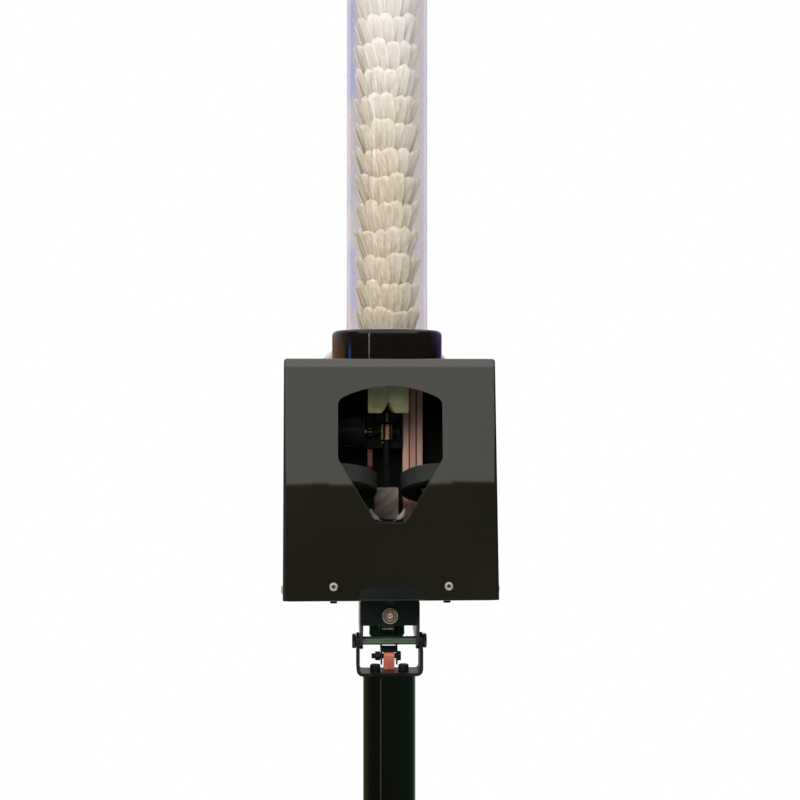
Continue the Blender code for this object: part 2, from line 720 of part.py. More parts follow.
def make_strut():
    lug_z = PIVOT_Z - LUG_DROP
    across = TRUNNION_Y - LUG_Y
    up = TRUNNION_RISE + LUG_DROP
    length = math.hypot(across, up)
    lean = math.atan2(up, across)
    frame = joint_frame("strut_hinge", (0, LUG_Y, lug_z))
    low_r = LUG_R + 3 * RUN
    high_r = TRUNNION_PIN_D / 2 + BAR_SLOT + 3 * RUN
    outline = arc(0, 0, low_r, 90, 270, 6) + arc(length, 0, high_r, -90, 90, 6)
    width = 2 * (BAR_X + BAR_WALL)
    strut = plate("tilt_strut", [turned_point(p, lean) for p in outline], width, "YZ",
                  (0, LUG_Y, lug_z))
    inside = [(-4 * low_r, -LUG_R - RUN), (3 * length, -LUG_R - RUN),
              (3 * length, LUG_R + RUN), (-4 * low_r, LUG_R + RUN)]
    gap = plate("gap", [turned_point(p, lean) for p in inside], 2 * BAR_X, "YZ", (0, LUG_Y, lug_z))
    cut(strut, gap, "inside")
    above = [(6 * RUN, LUG_R), (3 * length, LUG_R), (3 * length, 3 * low_r), (6 * RUN, 3 * low_r)]
    cut(strut, plate("web_end", [turned_point(p, lean) for p in above], 2 * BAR_X, "YZ",
                     (0, LUG_Y, lug_z)), "above_web")
    below = [(-4 * low_r, -3 * low_r), (3 * length, -3 * low_r), (3 * length, 0), (-4 * low_r, 0)]
    cut(strut, plate("rear_open", [turned_point(p, lean) for p in below], 2 * BAR_X, "YZ",
                     (0, LUG_Y, lug_z)), "open_rear")
    lead = [(-4 * low_r, 0), (-RUN, 0), (-RUN, 3 * low_r), (-4 * low_r, 3 * low_r)]
    cut(strut, plate("web_start", [turned_point(p, lean) for p in lead], 2 * BAR_X, "YZ",
                     (0, LUG_Y, lug_z)), "below_web")
    hole = rod("hole", LUG_BOLT_D + 2 * FIT, (-width, LUG_Y, lug_z), 2 * width, "X", SMALL_ROUND)
    cut(strut, hole, "bolt_hole")
    slot_r = TRUNNION_PIN_D / 2 + FIT
    slot = arc(length, BAR_SLOT, slot_r, 0, 180, 6) + arc(length, -BAR_SLOT, slot_r, 180, 360, 6)
    cut(strut, plate("slot", [turned_point(p, lean) for p in slot], 2 * width, "YZ",
                     (0, LUG_Y, lug_z)), "pin_slot")
    return done(strut, SATIN_BLACK, frame)


def turned_point(point, lean):
    """Point given along and across a slanted line, turned to its lean in the YZ plane."""
    along, off = point
    return (along * math.cos(lean) - off * math.sin(lean), along * math.sin(lean) + off * math.cos(lean))


def make_trunnion(head):
    on_screw = (0, TRUNNION_Y, PIVOT_Z + screw_height(TRUNNION_Y))
    frame = joint_frame("trunnion_slide", on_screw)
    low = -TRUNNION_DROP - TRUNNION_PIN_D * 0.8
    high = SCREW_D
    half = TRUNNION_L / 2
    corner = 1.5 * MM
    block = rounded([(-half, low, corner), (half, low, corner), (half, high, corner),
                     (-half, high, corner)], 2)
    outline = [turned_point(point, -SCREW_SLOPE) for point in block]
    nut = plate("trunnion_nut", outline, TRUNNION_W, "YZ", on_screw)
    pin_half = BAR_X + BAR_WALL + FIT
    pin = rod("pin", TRUNNION_PIN_D, (-pin_half, TRUNNION_Y, PIVOT_Z + TRUNNION_RISE),
              2 * pin_half, "X", SMALL_ROUND)
    join(nut, pin, "pin")
    bore = rod("bore", SCREW_D + 2 * FIT, along_screw(TRUNNION_Y - TRUNNION_L), 2 * TRUNNION_L,
               sides=SMALL_ROUND, turn=SCREW_TURN)
    cut(nut, bore, "bore")
    done(nut, BRASS, frame)
    ride(frame, head)


SCREW_TURN = (-math.pi / 2 - SCREW_SLOPE, 0, 0)


def along_screw(along_y):
    return (0, along_y, PIVOT_Z + screw_height(along_y))


def make_tilt_screw(head):
    front = YOKE_DEPTH / 2
    washer = 1.6 * MM
    bolt_head = 4 * MM
    frame = joint_frame("tilt_screw_axis", along_screw(-front))
    knob_at = (BRACKET_REACH + front + 2 * RUN) / math.cos(SCREW_SLOPE)
    tail = knob_at + KNOB_H + FIT
    face = -WASHER_D / 2 * math.tan(SCREW_SLOPE) - FIT
    profile = [(0, tail), (SCREW_D / 2, tail), (SCREW_D / 2, face), (WASHER_D / 2, face),
               (WASHER_D / 2, face - washer), (WASHER_D * 0.36, face - washer),
               (WASHER_D * 0.36, face - washer - bolt_head), (0, face - washer - bolt_head)]
    screw = turned("tilt_screw", profile, along_screw(-front), SCREW_TURN, MEDIUM_ROUND)
    done(screw, STEEL, frame)

    middle = along_screw(-front)
    reach = knob_at + KNOB_H / 2
    knob = plate("star_knob", lobed_outline(KNOB_R, KNOB_LOBES), KNOB_H,
                 at=(0, middle[1] + reach * math.cos(SCREW_SLOPE),
                     middle[2] - reach * math.sin(SCREW_SLOPE)),
                 turn=(math.pi / 2 - SCREW_SLOPE, 0, 0))
    bevel(knob, 2 * MM, 1)
    cut(knob, rod("bore", SCREW_D + 2 * FIT, along_screw(BRACKET_REACH - KNOB_H), 4 * KNOB_H,
                  sides=SMALL_ROUND, turn=SCREW_TURN), "bore")
    done(knob, BLACK_RUBBER, frame)
    ride(frame, head)


def make_head_bracket(head):
    half = YOKE_W / 2 - YOKE_WALL - FIT
    inner = half - BRACKET_WALL
    front = -YOKE_DEPTH / 2
    low = -EAR_R
    bend = YOKE_BEND
    bend_in = max(bend - BRACKET_WALL, 0.5 * MM)
    u_bend = rounded([(half, low, 0), (half, BRACKET_RISE, bend), (-half, BRACKET_RISE, bend),
                      (-half, low, 0), (-inner, low, 0), (-inner, BRACKET_RISE - BRACKET_WALL, bend_in),
                      (inner, BRACKET_RISE - BRACKET_WALL, bend_in), (inner, low, 0)], 3)
    depth = BRACKET_REACH - front
    middle = (BRACKET_REACH + front) / 2
    bracket = plate("head_bracket", u_bend, depth, "XZ", (0, middle, PIVOT_Z))
    skirt_low = BRACKET_RISE - BRACKET_SKIRT
    tail_low = screw_height(BRACKET_REACH) - SCREW_D
    side = arc(0, 0, EAR_R, 180, 330, 8) + [
        (BRACKET_REACH + RUN, tail_low), (BRACKET_REACH + RUN, BRACKET_RISE + RUN),
        (front - RUN, BRACKET_RISE + RUN), (front - RUN, skirt_low)]
    keep(bracket, plate("sides", side, YOKE_W, "YZ", (0, 0, PIVOT_Z)), "sides")
    overlap = BRACKET_WALL / 2
    for name, y, low_edge in (("front_plate", front, skirt_low),
                              ("rear_plate", BRACKET_REACH - BRACKET_WALL, tail_low)):
        sheet = box(name, (-inner - overlap, y, low_edge),
                    (inner + overlap, y + BRACKET_WALL, BRACKET_RISE - overlap), (0, 0, PIVOT_Z))
        join(bracket, sheet, name)
    cut(bracket, rod("hole", PIVOT_D + 2 * FIT, (-YOKE_W, 0, PIVOT_Z), 2 * YOKE_W, "X"), "pivot_hole")
    cut(bracket, rod("hole", SCREW_D + 4 * FIT, along_screw(2 * front), 2 * depth, sides=SMALL_ROUND,
                     turn=SCREW_TURN), "screw_hole")
    return done(bracket, GLOSS_BLACK, head)


# Case

def sheet_box(name, half, low, high, front_low, front_high, rear, wall, bend, open_sides):
    """Bent sheet shell with a leaning front and some of its sides left open."""
    shape = bmesh.new()
    bmesh.ops.create_cube(shape, size=1)
    for corner in shape.verts:
        top = corner.co.z > 0
        front = front_high if top else front_low
        corner.co.x = math.copysign(half, corner.co.x)
        corner.co.y = rear if corner.co.y > 0 else front
        corner.co.z = high if top else low
    shape.normal_update()
    open_faces = []
    for face in shape.faces:
        for axis, sign in open_sides:
            if face.normal[axis] * sign > 0.9:
                open_faces.append(face)
    bmesh.ops.delete(shape, geom=open_faces, context='FACES_ONLY')
    shell = from_bmesh(name, shape)
    bevel(shell, bend, 2, 30)
    solid = shell.modifiers.new("wall", 'SOLIDIFY')
    solid.thickness = wall
    solid.offset = -1
    solid.use_even_offset = True
    return shell


def front_at(height):
    """Distance in Y of the hood's front face at a height."""
    return -CASE_FRONT + (height - CASE_BOTTOM) * CASE_LEAN / CASE_H


def window_outline():
    arch_z = WINDOW_TOP - WINDOW_ARCH
    shoulder_x = WINDOW_HALF - WINDOW_SHOULDER
    reach = WINDOW_ARCH - WINDOW_SHOULDER
    shoulder_z = arch_z + math.sqrt(reach ** 2 - shoulder_x ** 2)
    meet = math.degrees(math.acos(shoulder_x / reach))
    right = arc(shoulder_x, shoulder_z, WINDOW_SHOULDER, 0, meet, 3)
    arch = arc(0, arch_z, WINDOW_ARCH, meet, 180 - meet, 8)[1:-1]
    left = [(-u, v) for u, v in reversed(right)]
    slant_z = WINDOW_LOW + WINDOW_SLANT
    lower = rounded([(-WINDOW_HALF, shoulder_z, 0), (-WINDOW_HALF, slant_z, 8 * MM),
                     (-WINDOW_FOOT, WINDOW_LOW, 6 * MM), (WINDOW_FOOT, WINDOW_LOW, 6 * MM),
                     (WINDOW_HALF, slant_z, 8 * MM), (WINDOW_HALF, shoulder_z, 0)], 3)
    return right + arch + left + lower[1:-1]


def make_hood(head):
    hood = sheet_box("hood", CASE_W / 2, CASE_BOTTOM, CASE_TOP, -CASE_FRONT,
                     CASE_LEAN - CASE_FRONT, CASE_REAR, HOOD_WALL, HOOD_BEND, ((2, -1), (1, 1)))
    through = CASE_LEAN + 6 * HOOD_WALL
    middle = CASE_LEAN / 2 - CASE_FRONT
    cut(hood, plate("window", window_outline(), through, "XZ", (0, middle, CASE_BOTTOM)), "window")
    notch = [(NOTCH_TOP_HALF, NOTCH_H), (-NOTCH_TOP_HALF, NOTCH_H),
             (-NOTCH_HALF, 0), (-NOTCH_HALF, -NOTCH_H), (NOTCH_HALF, -NOTCH_H), (NOTCH_HALF, 0)]
    cut(hood, plate("notch", notch, 8 * HOOD_WALL, "XZ", (0, -CASE_FRONT, CASE_BOTTOM)), "notch")
    throat = rod("throat", HOPPER_D - 2 * HOPPER_WALL, (0, HOPPER_Y, CASE_TOP - 4 * HOOD_WALL),
                 8 * HOOD_WALL)
    cut(hood, throat, "throat")
    return done(hood, GLOSS_BLACK, head)


def make_tray(head):
    high = TRAY_BOTTOM + TRAY_RIM
    inset = HOOD_WALL / math.cos(math.atan2(CASE_LEAN, CASE_H)) + FIT
    tray = sheet_box("base_tray", CASE_IN_HALF - FIT, TRAY_BOTTOM, high,
                     front_at(TRAY_BOTTOM) + inset, front_at(high) + inset,
                     PANEL_FRONT - FIT, TRAY_WALL, HOOD_BEND, ((2, 1),))
    for i, (x, y) in enumerate(((-1, -0.5), (1, -0.5), (-1, 2), (1, 2))):
        stud = rod("stud", STUD_D, (x * WHEEL_X, y * CASE_FRONT, TRAY_BOTTOM - STUD_H),
                   STUD_H + TRAY_WALL / 2, sides=SMALL_ROUND)
        join(tray, stud, "stud_%d" % i)
    return done(tray, SATIN_BLACK, head)


def make_rear_panel(head):
    half = CASE_IN_HALF - FIT
    low = TRAY_BOTTOM
    high = CASE_IN_TOP - FIT
    outline = rounded([(half, low, 0), (half, high, HOOD_BEND), (-half, high, HOOD_BEND),
                       (-half, low, 0)], 2)
    middle = (PANEL_FRONT + CASE_REAR) / 2
    panel = plate("rear_panel", outline, HOOD_WALL, "XZ", (0, middle, 0))
    thick = 6 * HOOD_WALL
    gap = 2 * FIT
    rocker = box("rocker_cut", (-ROCKER_W / 2 - gap, -thick, -ROCKER_H / 2 - gap),
                 (ROCKER_W / 2 + gap, thick, ROCKER_H / 2 + gap), (ROCKER_X, middle, CONTROL_Z))
    cut(panel, rocker, "rocker_hole")
    dial = rod("dial_cut", DIAL_SHAFT_D + 2 * FIT, (DIAL_X, middle - thick, CONTROL_Z), 2 * thick, "Y",
               SMALL_ROUND)
    cut(panel, dial, "dial_hole")
    vent_low = TRAY_BOTTOM + TRAY_RIM + VENT_H
    for i in range(VENTS):
        slot = box("vent", (-VENT_L / 2, -thick, 0), (VENT_L / 2, thick, VENT_H),
                   (VENT_X, middle, vent_low + i * VENT_PITCH))
        cut(panel, slot, "vent_%d" % i)
    done(panel, SATIN_BLACK, head)

    switch = joint_frame("rocker_axis", (ROCKER_X, CASE_REAR, CONTROL_Z))
    half_h = ROCKER_H / 2
    shape = [(1.5 * MM, -half_h), (0.5 * MM, 0), (1.5 * MM, half_h), (-4 * MM, half_h * 0.7),
             (-4 * MM, -half_h * 0.7)]
    rocker = plate("rocker_switch", shape, ROCKER_W, "YZ", (ROCKER_X, CASE_REAR, CONTROL_Z))
    done(rocker, SATIN_BLACK, switch)
    ride(switch, head)

    turn = joint_frame("dial_axis", (DIAL_X, CASE_REAR, CONTROL_Z))
    profile = [(0, DIAL_H), (DIAL_D / 2 - RUN, DIAL_H), (DIAL_D / 2, DIAL_H - RUN),
               (DIAL_D / 2, FIT), (DIAL_SHAFT_D / 2, FIT), (DIAL_SHAFT_D / 2, -8 * HOOD_WALL),
               (0, -8 * HOOD_WALL)]
    dial = turned("speed_dial", profile, (DIAL_X, CASE_REAR, CONTROL_Z), TURN_TO["Y"], MEDIUM_ROUND)
    done(dial, SATIN_BLACK, turn)
    ride(turn, head)


def make_frame_post(head):
    half = POST_SIZE / 2
    mouth = SLOT_MOUTH / 2
    wide = SLOT_W / 2
    floor = half - SLOT_DEPTH
    slot = [(half, wide + RUN), (half, mouth), (half - SLOT_LIP, mouth), (half - SLOT_LIP, wide),
            (floor + SLOT_LIP, wide), (floor, mouth), (floor, -mouth), (floor + SLOT_LIP, -wide),
            (half - SLOT_LIP, -wide), (half - SLOT_LIP, -mouth), (half, -mouth)]
    outline = []
    side = slot[1:] + [(half, -half)]
    while len(outline) < 4 * len(side):
        outline += side
        side = [(v, -u) for u, v in side]
    length = CASE_IN_TOP - FIT - ON_TRAY
    post = plate("frame_post", outline, length, "XY",
                 (POST_X + half, POST_Y + half, ON_TRAY + length / 2))
    return done(post, ALUMINIUM, head)


def make_boxes(head):
    w, d, h = BATTERY
    battery = box("battery", (-w / 2, -d / 2, 0), (w / 2, d / 2, h), (-BATTERY_X, BATTERY_Y, ON_TRAY))
    bevel(battery, BATTERY_ROUND, 2)
    done(battery, BATTERY_BLUE, head)

    w = BOARD_OUT - BOARD_IN
    d = BOARD_L
    t = BOARD_T
    x_mid = (BOARD_IN + BOARD_OUT) / 2
    low = ON_TRAY + STANDOFF_H
    board = box("control_board", (-w / 2, -d / 2, 0), (w / 2, d / 2, t), (x_mid, BOARD_Y, low))
    inset = STANDOFF_D
    for i, (x, y) in enumerate(((-1, -1), (1, -1), (1, 1), (-1, 1))):
        leg_at = (x_mid + x * (w / 2 - inset), BOARD_Y + y * (d / 2 - inset), ON_TRAY)
        leg = rod("standoff", STANDOFF_D, leg_at, STANDOFF_H + t / 2, sides=SMALL_ROUND)
        join(board, leg, "standoff_%d" % i)
    relay = box("relay", (-w * 0.3, -d * 0.3, t / 2), (0, 0, w * 0.3), (x_mid, BOARD_Y, low))
    join(board, relay, "relay")
    can = rod("can", w * 0.25, (x_mid + w * 0.22, BOARD_Y + d * 0.2, low + t / 2), w * 0.35,
              sides=SMALL_ROUND)
    join(board, can, "can")
    return done(board, BOARD_GREEN, head)


# Launcher

def make_launcher(head, side):
    """One wheel with its motor and bracket; side is -1 on the left and +1 on the right."""
    name = "left" if side < 0 else "right"
    centre = (side * WHEEL_X, WHEEL_Y, WHEEL_Z)
    turn = (-LAUNCH_TILT, 0, 0)
    spin = joint_frame("wheel_axis_" + name, centre, turn)
    half = WHEEL_T / 2
    rim = WHEEL_R - TYRE_WALL
    chamfer = 1 * MM
    tread = [(WHEEL_R - chamfer, half), (WHEEL_R, half - chamfer), (WHEEL_R, -half + chamfer),
             (WHEEL_R - chamfer, -half), (rim, -half), (rim, half)]
    tyre = turned("wheel_tyre_" + name, tread, centre, turn, LARGE_ROUND, ring=True)
    done(tyre, TREAD_GREY, spin)
    web = HUB_WEB / 2
    lip = rim - FIT
    dish = lip - 2 * MM
    boss = HUB_BORE_RIM
    shaft = WHEEL_SHAFT_D / 2
    flange_low = -half - WHEEL_CLEAR
    hub = turned("wheel_hub_" + name,
                 [(0, half), (boss, half), (boss, web), (dish, web), (dish, half), (lip, half),
                  (lip, -half), (dish, -half), (dish, -web), (boss, -web), (boss, -half),
                  (shaft, -half), (shaft, flange_low - WHEEL_SHAFT_L), (0, flange_low - WHEEL_SHAFT_L)],
                 centre, turn, MEDIUM_ROUND)
    done(hub, SATIN_ALUMINIUM, spin)

    motor_top = flange_low - FLANGE - FIT
    boss_top = flange_low - FIT
    bore = shaft + FIT
    body = MOTOR_D / 2
    motor = turned("wheel_motor_" + name,
                   [(bore, boss_top), (MOTOR_BOSS_D / 2, boss_top), (MOTOR_BOSS_D / 2, motor_top),
                    (body - chamfer, motor_top), (body, motor_top - chamfer),
                    (body, motor_top - MOTOR_L),
                    (0, motor_top - MOTOR_L), (0, flange_low - WHEEL_SHAFT_L - 2 * RUN),
                    (bore, flange_low - WHEEL_SHAFT_L - 2 * RUN)], centre, turn)
    close_ring(motor)
    done(motor, SATIN_BLACK, head)

    square = body + 2 * MM
    leg_in = body + 2 * MM
    leg_out = leg_in + FLANGE
    xs = sorted((-side * square, side * leg_out))
    bracket = box("motor_bracket_" + name, (xs[0], -square, flange_low - FLANGE),
                  (xs[1], square, flange_low), centre, turn)
    cosine = math.cos(LAUNCH_TILT)
    sine = math.sin(LAUNCH_TILT)
    edge = []
    for along, up in ((-square, flange_low), (square, flange_low)):
        edge.append((WHEEL_Y + along * cosine + up * sine, WHEEL_Z - along * sine + up * cosine))
    front, rear = edge
    inward = 0.5 * MM
    foot_front = front[0] - 6 * MM
    foot_rear = rear[0] + 5 * MM
    side_outline = [(front[0] + inward, front[1] - FLANGE / 2), (rear[0] - inward, rear[1] - FLANGE / 2),
                    (foot_rear, ON_TRAY), (foot_front, ON_TRAY)]
    leg_mid = side * (WHEEL_X + leg_in + FLANGE / 2)
    leg = plate("leg", side_outline, FLANGE, "YZ", (leg_mid, 0, 0))
    join(bracket, leg, "leg")
    foot_x = sorted((leg_mid, side * (CASE_IN_HALF - TRAY_WALL - 2 * RUN)))
    foot = box("foot", (foot_x[0], foot_front, ON_TRAY), (foot_x[1], foot_rear, ON_TRAY + FLANGE))
    join(bracket, foot, "foot")
    hole = rod("hole", MOTOR_BOSS_D + 2 * FIT, place_on_axis(centre, flange_low - 3 * FLANGE),
               6 * FLANGE, turn=turn)
    cut(bracket, hole, "boss_hole")
    return done(bracket, SATIN_BLACK, head)


def place_on_axis(centre, up):
    """Point on a wheel's axis at a height above the wheel's centre."""
    return (centre[0], centre[1] + up * math.sin(LAUNCH_TILT), centre[2] + up * math.cos(LAUNCH_TILT))


def close_ring(item):
    """Join the last point of a turned profile to the first when both stand off the axis."""
    mesh = item.data
    count = len(mesh.vertices)
    points = [tuple(v.co) for v in mesh.vertices]
    edges = [(i, i + 1) for i in range(count - 1)] + [(count - 1, 0)]
    edges = [pair for pair in edges if not (points[pair[0]][0] == 0 and points[pair[1]][0] == 0)]
    mesh.clear_geometry()
    mesh.from_pydata(points, edges, [])


# Feed

def make_jaw(head, side):
    name = "left" if side < 0 else "right"
    inner = JAW_GAP / 2
    outer = inner + JAW_W
    corner = 1.5 * MM
    notch = []
    for i in range(7):
        angle = math.pi / 2 * i / 6
        notch.append((inner + (NOTCH_W - inner) * (1 - math.cos(angle)),
                      JAW_BOTTOM + NOTCH_RISE * (1 - math.sin(angle))))
    profile = [(inner, JAW_TOP)] + notch + rounded([(NOTCH_W, JAW_BOTTOM, 0),
                                                    (outer, JAW_BOTTOM, corner),
                                                    (outer, JAW_TOP, 0)], 3)[1:]
    profile = [(side * u, v) for u, v in profile]
    depth = JAW_FRONT + JAW_BACK
    middle = HOPPER_Y + (JAW_BACK - JAW_FRONT) / 2
    frame = joint_frame("jaw_slide_" + name, (side * outer, middle, JAW_TOP))
    jaw = plate("jaw_" + name, profile, depth, "XZ", (0, middle, 0))
    ears = sorted((side * (inner + RUN), side * (outer - RUN)))
    ear = box("ear", (ears[0], -depth / 2 - JAW_EAR, -JAW_EAR_T), (ears[1], depth / 2 + JAW_EAR, -0.2 * MM),
              (0, middle, JAW_TOP))
    join(jaw, ear, "ears")
    seat_r = CORK_D / 2 + FIT
    ball = bmesh.new()
    bmesh.ops.create_uvsphere(ball, u_segments=ROUND, v_segments=SMALL_ROUND, radius=seat_r)
    seat = from_bmesh("seat", ball, (0, HOPPER_Y, CORK_LOW + CORK_D / 2), smooth=True)
    cut(jaw, seat, "cork_seat")
    done(jaw, GREEN_SILICONE, frame)
    ride(frame, head)


def make_jaw_bracket(head):
    depth = JAW_FRONT + JAW_BACK
    middle = HOPPER_Y + (JAW_BACK - JAW_FRONT) / 2
    ear_end = depth / 2 + JAW_EAR
    web_in = ear_end + FIT
    web_out = web_in + RAIL
    lip_in = depth / 2 + 2 * FIT
    low = -JAW_EAR_T - FIT
    high = FIT
    half_l = JAW_GAP / 2 + JAW_W + JAW_TRAVEL + RAIL_END
    section = [(lip_in, low), (lip_in, low - RAIL), (web_out, low - RAIL), (web_out, high + RAIL),
               (lip_in, high + RAIL), (lip_in, high), (web_in, high), (web_in, low)]
    bracket = plate("jaw_bracket", section, 2 * half_l, "YZ", (0, middle, JAW_TOP))
    front = plate("front_rail", [(-u, v) for u, v in reversed(section)], 2 * half_l, "YZ",
                  (0, middle, JAW_TOP))
    join(bracket, front, "front_rail")
    for name, side in (("left", -1), ("right", 1)):
        xs = sorted((side * (half_l - RAIL_END + FIT), side * half_l))
        bar = box("bar", (xs[0], -web_out, low - RAIL), (xs[1], web_out, high + RAIL),
                  (0, middle, JAW_TOP))
        join(bracket, bar, "end_" + name)
    return done(bracket, SATIN_BLACK, head)


def make_pusher(head):
    frame = joint_frame("pusher_axis", (0, SHAFT_Y, SHAFT_Z))
    left = -LEVER_X - LEVER_T / 2
    ear_x = BUSH_L / 2 + BUSH_D / 3
    shaft = rod("pusher_shaft", SHAFT_D, (left - FIT - SHAFT_STUB, SHAFT_Y, SHAFT_Z),
                ear_x + EAR_T - left + SHAFT_STUB + FIT, "X", SMALL_ROUND)
    nut = hex_prism("nut", 1.6 * SHAFT_D, (-LEVER_X + LEVER_T / 2 - RUN, SHAFT_Y, SHAFT_Z), SHAFT_NUT_T)
    join(shaft, nut, "nut")
    lever = rounded([(-LEVER_W / 2, LEVER_W / 2 + RUN, LEVER_W / 3), (-LEVER_W / 2, -LEVER_L, LEVER_W / 3),
                     (LEVER_W / 2, -LEVER_L, LEVER_W / 3), (LEVER_W / 2, LEVER_W / 2 + RUN, LEVER_W / 3)], 2)
    join(shaft, plate("lever", lever, LEVER_T, "YZ", (-LEVER_X, SHAFT_Y, SHAFT_Z)), "lever")
    done(shaft, RED_ANODISED, frame)

    bush = tube("pusher_bush", BUSH_D, SHAFT_D + 2 * FIT, -BUSH_L / 2, BUSH_L / 2,
                (0, SHAFT_Y, SHAFT_Z), TURN_TO["X"], ROUND)
    rod_top = -BUSH_D / 2 + 2.2 * MM
    rod_hole = rod("hole", ROD_D + 2 * FIT, (0, SHAFT_Y, SHAFT_Z - BUSH_D), BUSH_D + rod_top + FIT,
                   sides=SMALL_ROUND)
    cut(bush, rod_hole, "rod_hole")
    done(bush, BRASS, frame)

    head_low = -HEAD_TOP - HEAD_H
    half = HEAD_W / 2
    outline = arc(0, head_low + half, half, 180, 360, 12)
    outline += rounded([(half, head_low + half, 0), (half, -HEAD_TOP, HEAD_ROUND),
                        (-half, -HEAD_TOP, HEAD_ROUND), (-half, head_low + half, 0)], 2)[1:-1]
    arm = plate("pusher_arm", outline, HEAD_T, "XZ", (0, SHAFT_Y, SHAFT_Z))
    stem_low = HEAD_TOP + HEAD_T / 2
    stem = rod("stem", ROD_D, (0, SHAFT_Y, SHAFT_Z - stem_low), stem_low + rod_top, sides=SMALL_ROUND)
    join(arm, stem, "stem")
    done(arm, SATIN_ALUMINIUM, frame)
    ride(frame, head)

    motor_face = left - FIT - EAR_T - SHAFT_STUB
    rear = POST_Y - 2 * FIT
    plate_low = -GEARMOTOR_D / 2 - RUN
    plate_high = GEARMOTOR_D / 2 + RUN
    bracket = box("pusher_bracket", (motor_face, rear - EAR_T, SHAFT_Z + plate_low),
                  (POST_X - FIT, rear, SHAFT_Z + plate_high))
    wing = box("wing", (POST_X - FIT - EAR_T, rear - EAR_T, SHAFT_Z + plate_low),
               (POST_X - FIT, POST_Y + POST_SIZE, SHAFT_Z + plate_high))
    join(bracket, wing, "wing")
    ear_r = SHAFT_D / 2 + 4 * MM
    back = rear - SHAFT_Y - EAR_T / 2
    ear = arc(0, 0, ear_r, 90, 270, 8) + [(back, -ear_r), (back, ear_r)]
    join(bracket, plate("right_ear", ear, EAR_T, "YZ", (ear_x + EAR_T / 2, SHAFT_Y, SHAFT_Z)), "right_ear")
    big_r = GEARMOTOR_D / 2
    face = arc(0, 0, big_r, 90, 270, 10) + [(back, -big_r), (back, big_r)]
    join(bracket, plate("motor_ear", face, EAR_T, "YZ", (motor_face + EAR_T / 2, SHAFT_Y, SHAFT_Z)),
         "motor_ear")
    shaft_hole = rod("hole", SHAFT_D + 2 * FIT, (2 * motor_face, SHAFT_Y, SHAFT_Z), -4 * motor_face, "X",
                     SMALL_ROUND)
    cut(bracket, shaft_hole, "shaft_hole")
    done(bracket, SATIN_BLACK, head)

    gear_from = motor_face - FIT - GEARMOTOR_L
    motor = rod("feed_motor", GEARMOTOR_D, (gear_from, SHAFT_Y, SHAFT_Z), GEARMOTOR_L, "X")
    bevel(motor, 1 * MM, 1)
    return done(motor, SATIN_BLACK, head)


def make_cradle(head):
    front_z = CASE_BOTTOM + TROUGH_RISE + TROUGH_R / math.cos(LAUNCH_TILT)
    outer = TROUGH_R + TROUGH_WALL
    spread = math.degrees(TROUGH_ARC)
    section = arc(0, 0, outer, -90 - spread, -90 + spread, 12)
    section += arc(0, 0, TROUGH_R, -90 + spread, -90 - spread, 12)
    middle = TROUGH_FRONT + TROUGH_L / 2 * math.cos(LAUNCH_TILT)
    lift = front_z - TROUGH_L / 2 * math.sin(LAUNCH_TILT)
    cradle = plate("cradle", section, TROUGH_L, at=(0, middle, lift),
                   turn=(math.pi / 2 - LAUNCH_TILT, 0, 0))
    stem_half = TROUGH_STEM / 2
    stem_top = lift - TROUGH_R / math.cos(LAUNCH_TILT) - TROUGH_WALL * 1.6
    stem = box("stem", (-stem_half, middle - stem_half, ON_TRAY),
               (stem_half, middle + stem_half, stem_top))
    join(cradle, stem, "stem")
    foot = box("foot", (-2 * stem_half, middle - 2 * stem_half, ON_TRAY),
               (2 * stem_half, middle + 2 * stem_half, ON_TRAY + FLANGE))
    join(cradle, foot, "foot")
    return done(cradle, SATIN_ALUMINIUM, head)


# Hopper

def make_hopper(head):
    outer = HOPPER_D + 2 * COLLAR_WALL
    bore = HOPPER_D + 2 * FIT
    throat = HOPPER_D - 2 * HOPPER_WALL
    low = FIT
    ledge = COLLAR_LEDGE
    high = COLLAR_H
    round_r = COLLAR_ROUND
    edge = [(u, v) for u, v in reversed(arc(outer / 2 - round_r, high - round_r, round_r, 0, 90, 2))]
    collar = turned("tube_collar", edge + [(outer / 2, low), (throat / 2, low), (throat / 2, ledge),
                                           (bore / 2, ledge), (bore / 2, high)],
                    (0, HOPPER_Y, CASE_TOP), steps=LARGE_ROUND, ring=True)
    done(collar, GLOSS_BLACK, head)
    clear = tube("hopper_tube", HOPPER_D, throat, 0, HOPPER_L, (0, HOPPER_Y, TUBE_FOOT), steps=LARGE_ROUND)
    done(clear, CLEAR_PLASTIC, head)

    slope = HANDLE_SPAN - HANDLE_SLOPE
    thin = HANDLE_T
    outline = [(HANDLE_SPAN, 0), (slope, HANDLE_RISE)]
    inside = [(slope - thin * 0.4, HANDLE_RISE - thin), (HANDLE_SPAN - thin * 1.5, 0)]
    whole = outline + [(-slope, HANDLE_RISE), (-HANDLE_SPAN, 0), (-inside[1][0], 0),
                       (-inside[0][0], inside[0][1])] + inside
    handle = plate("carry_handle", whole, HANDLE_W, "XZ",
                   (0, CASE_REAR - RUN - HANDLE_W / 2, CASE_TOP + FIT))
    return done(handle, GREY_PLASTIC, head)


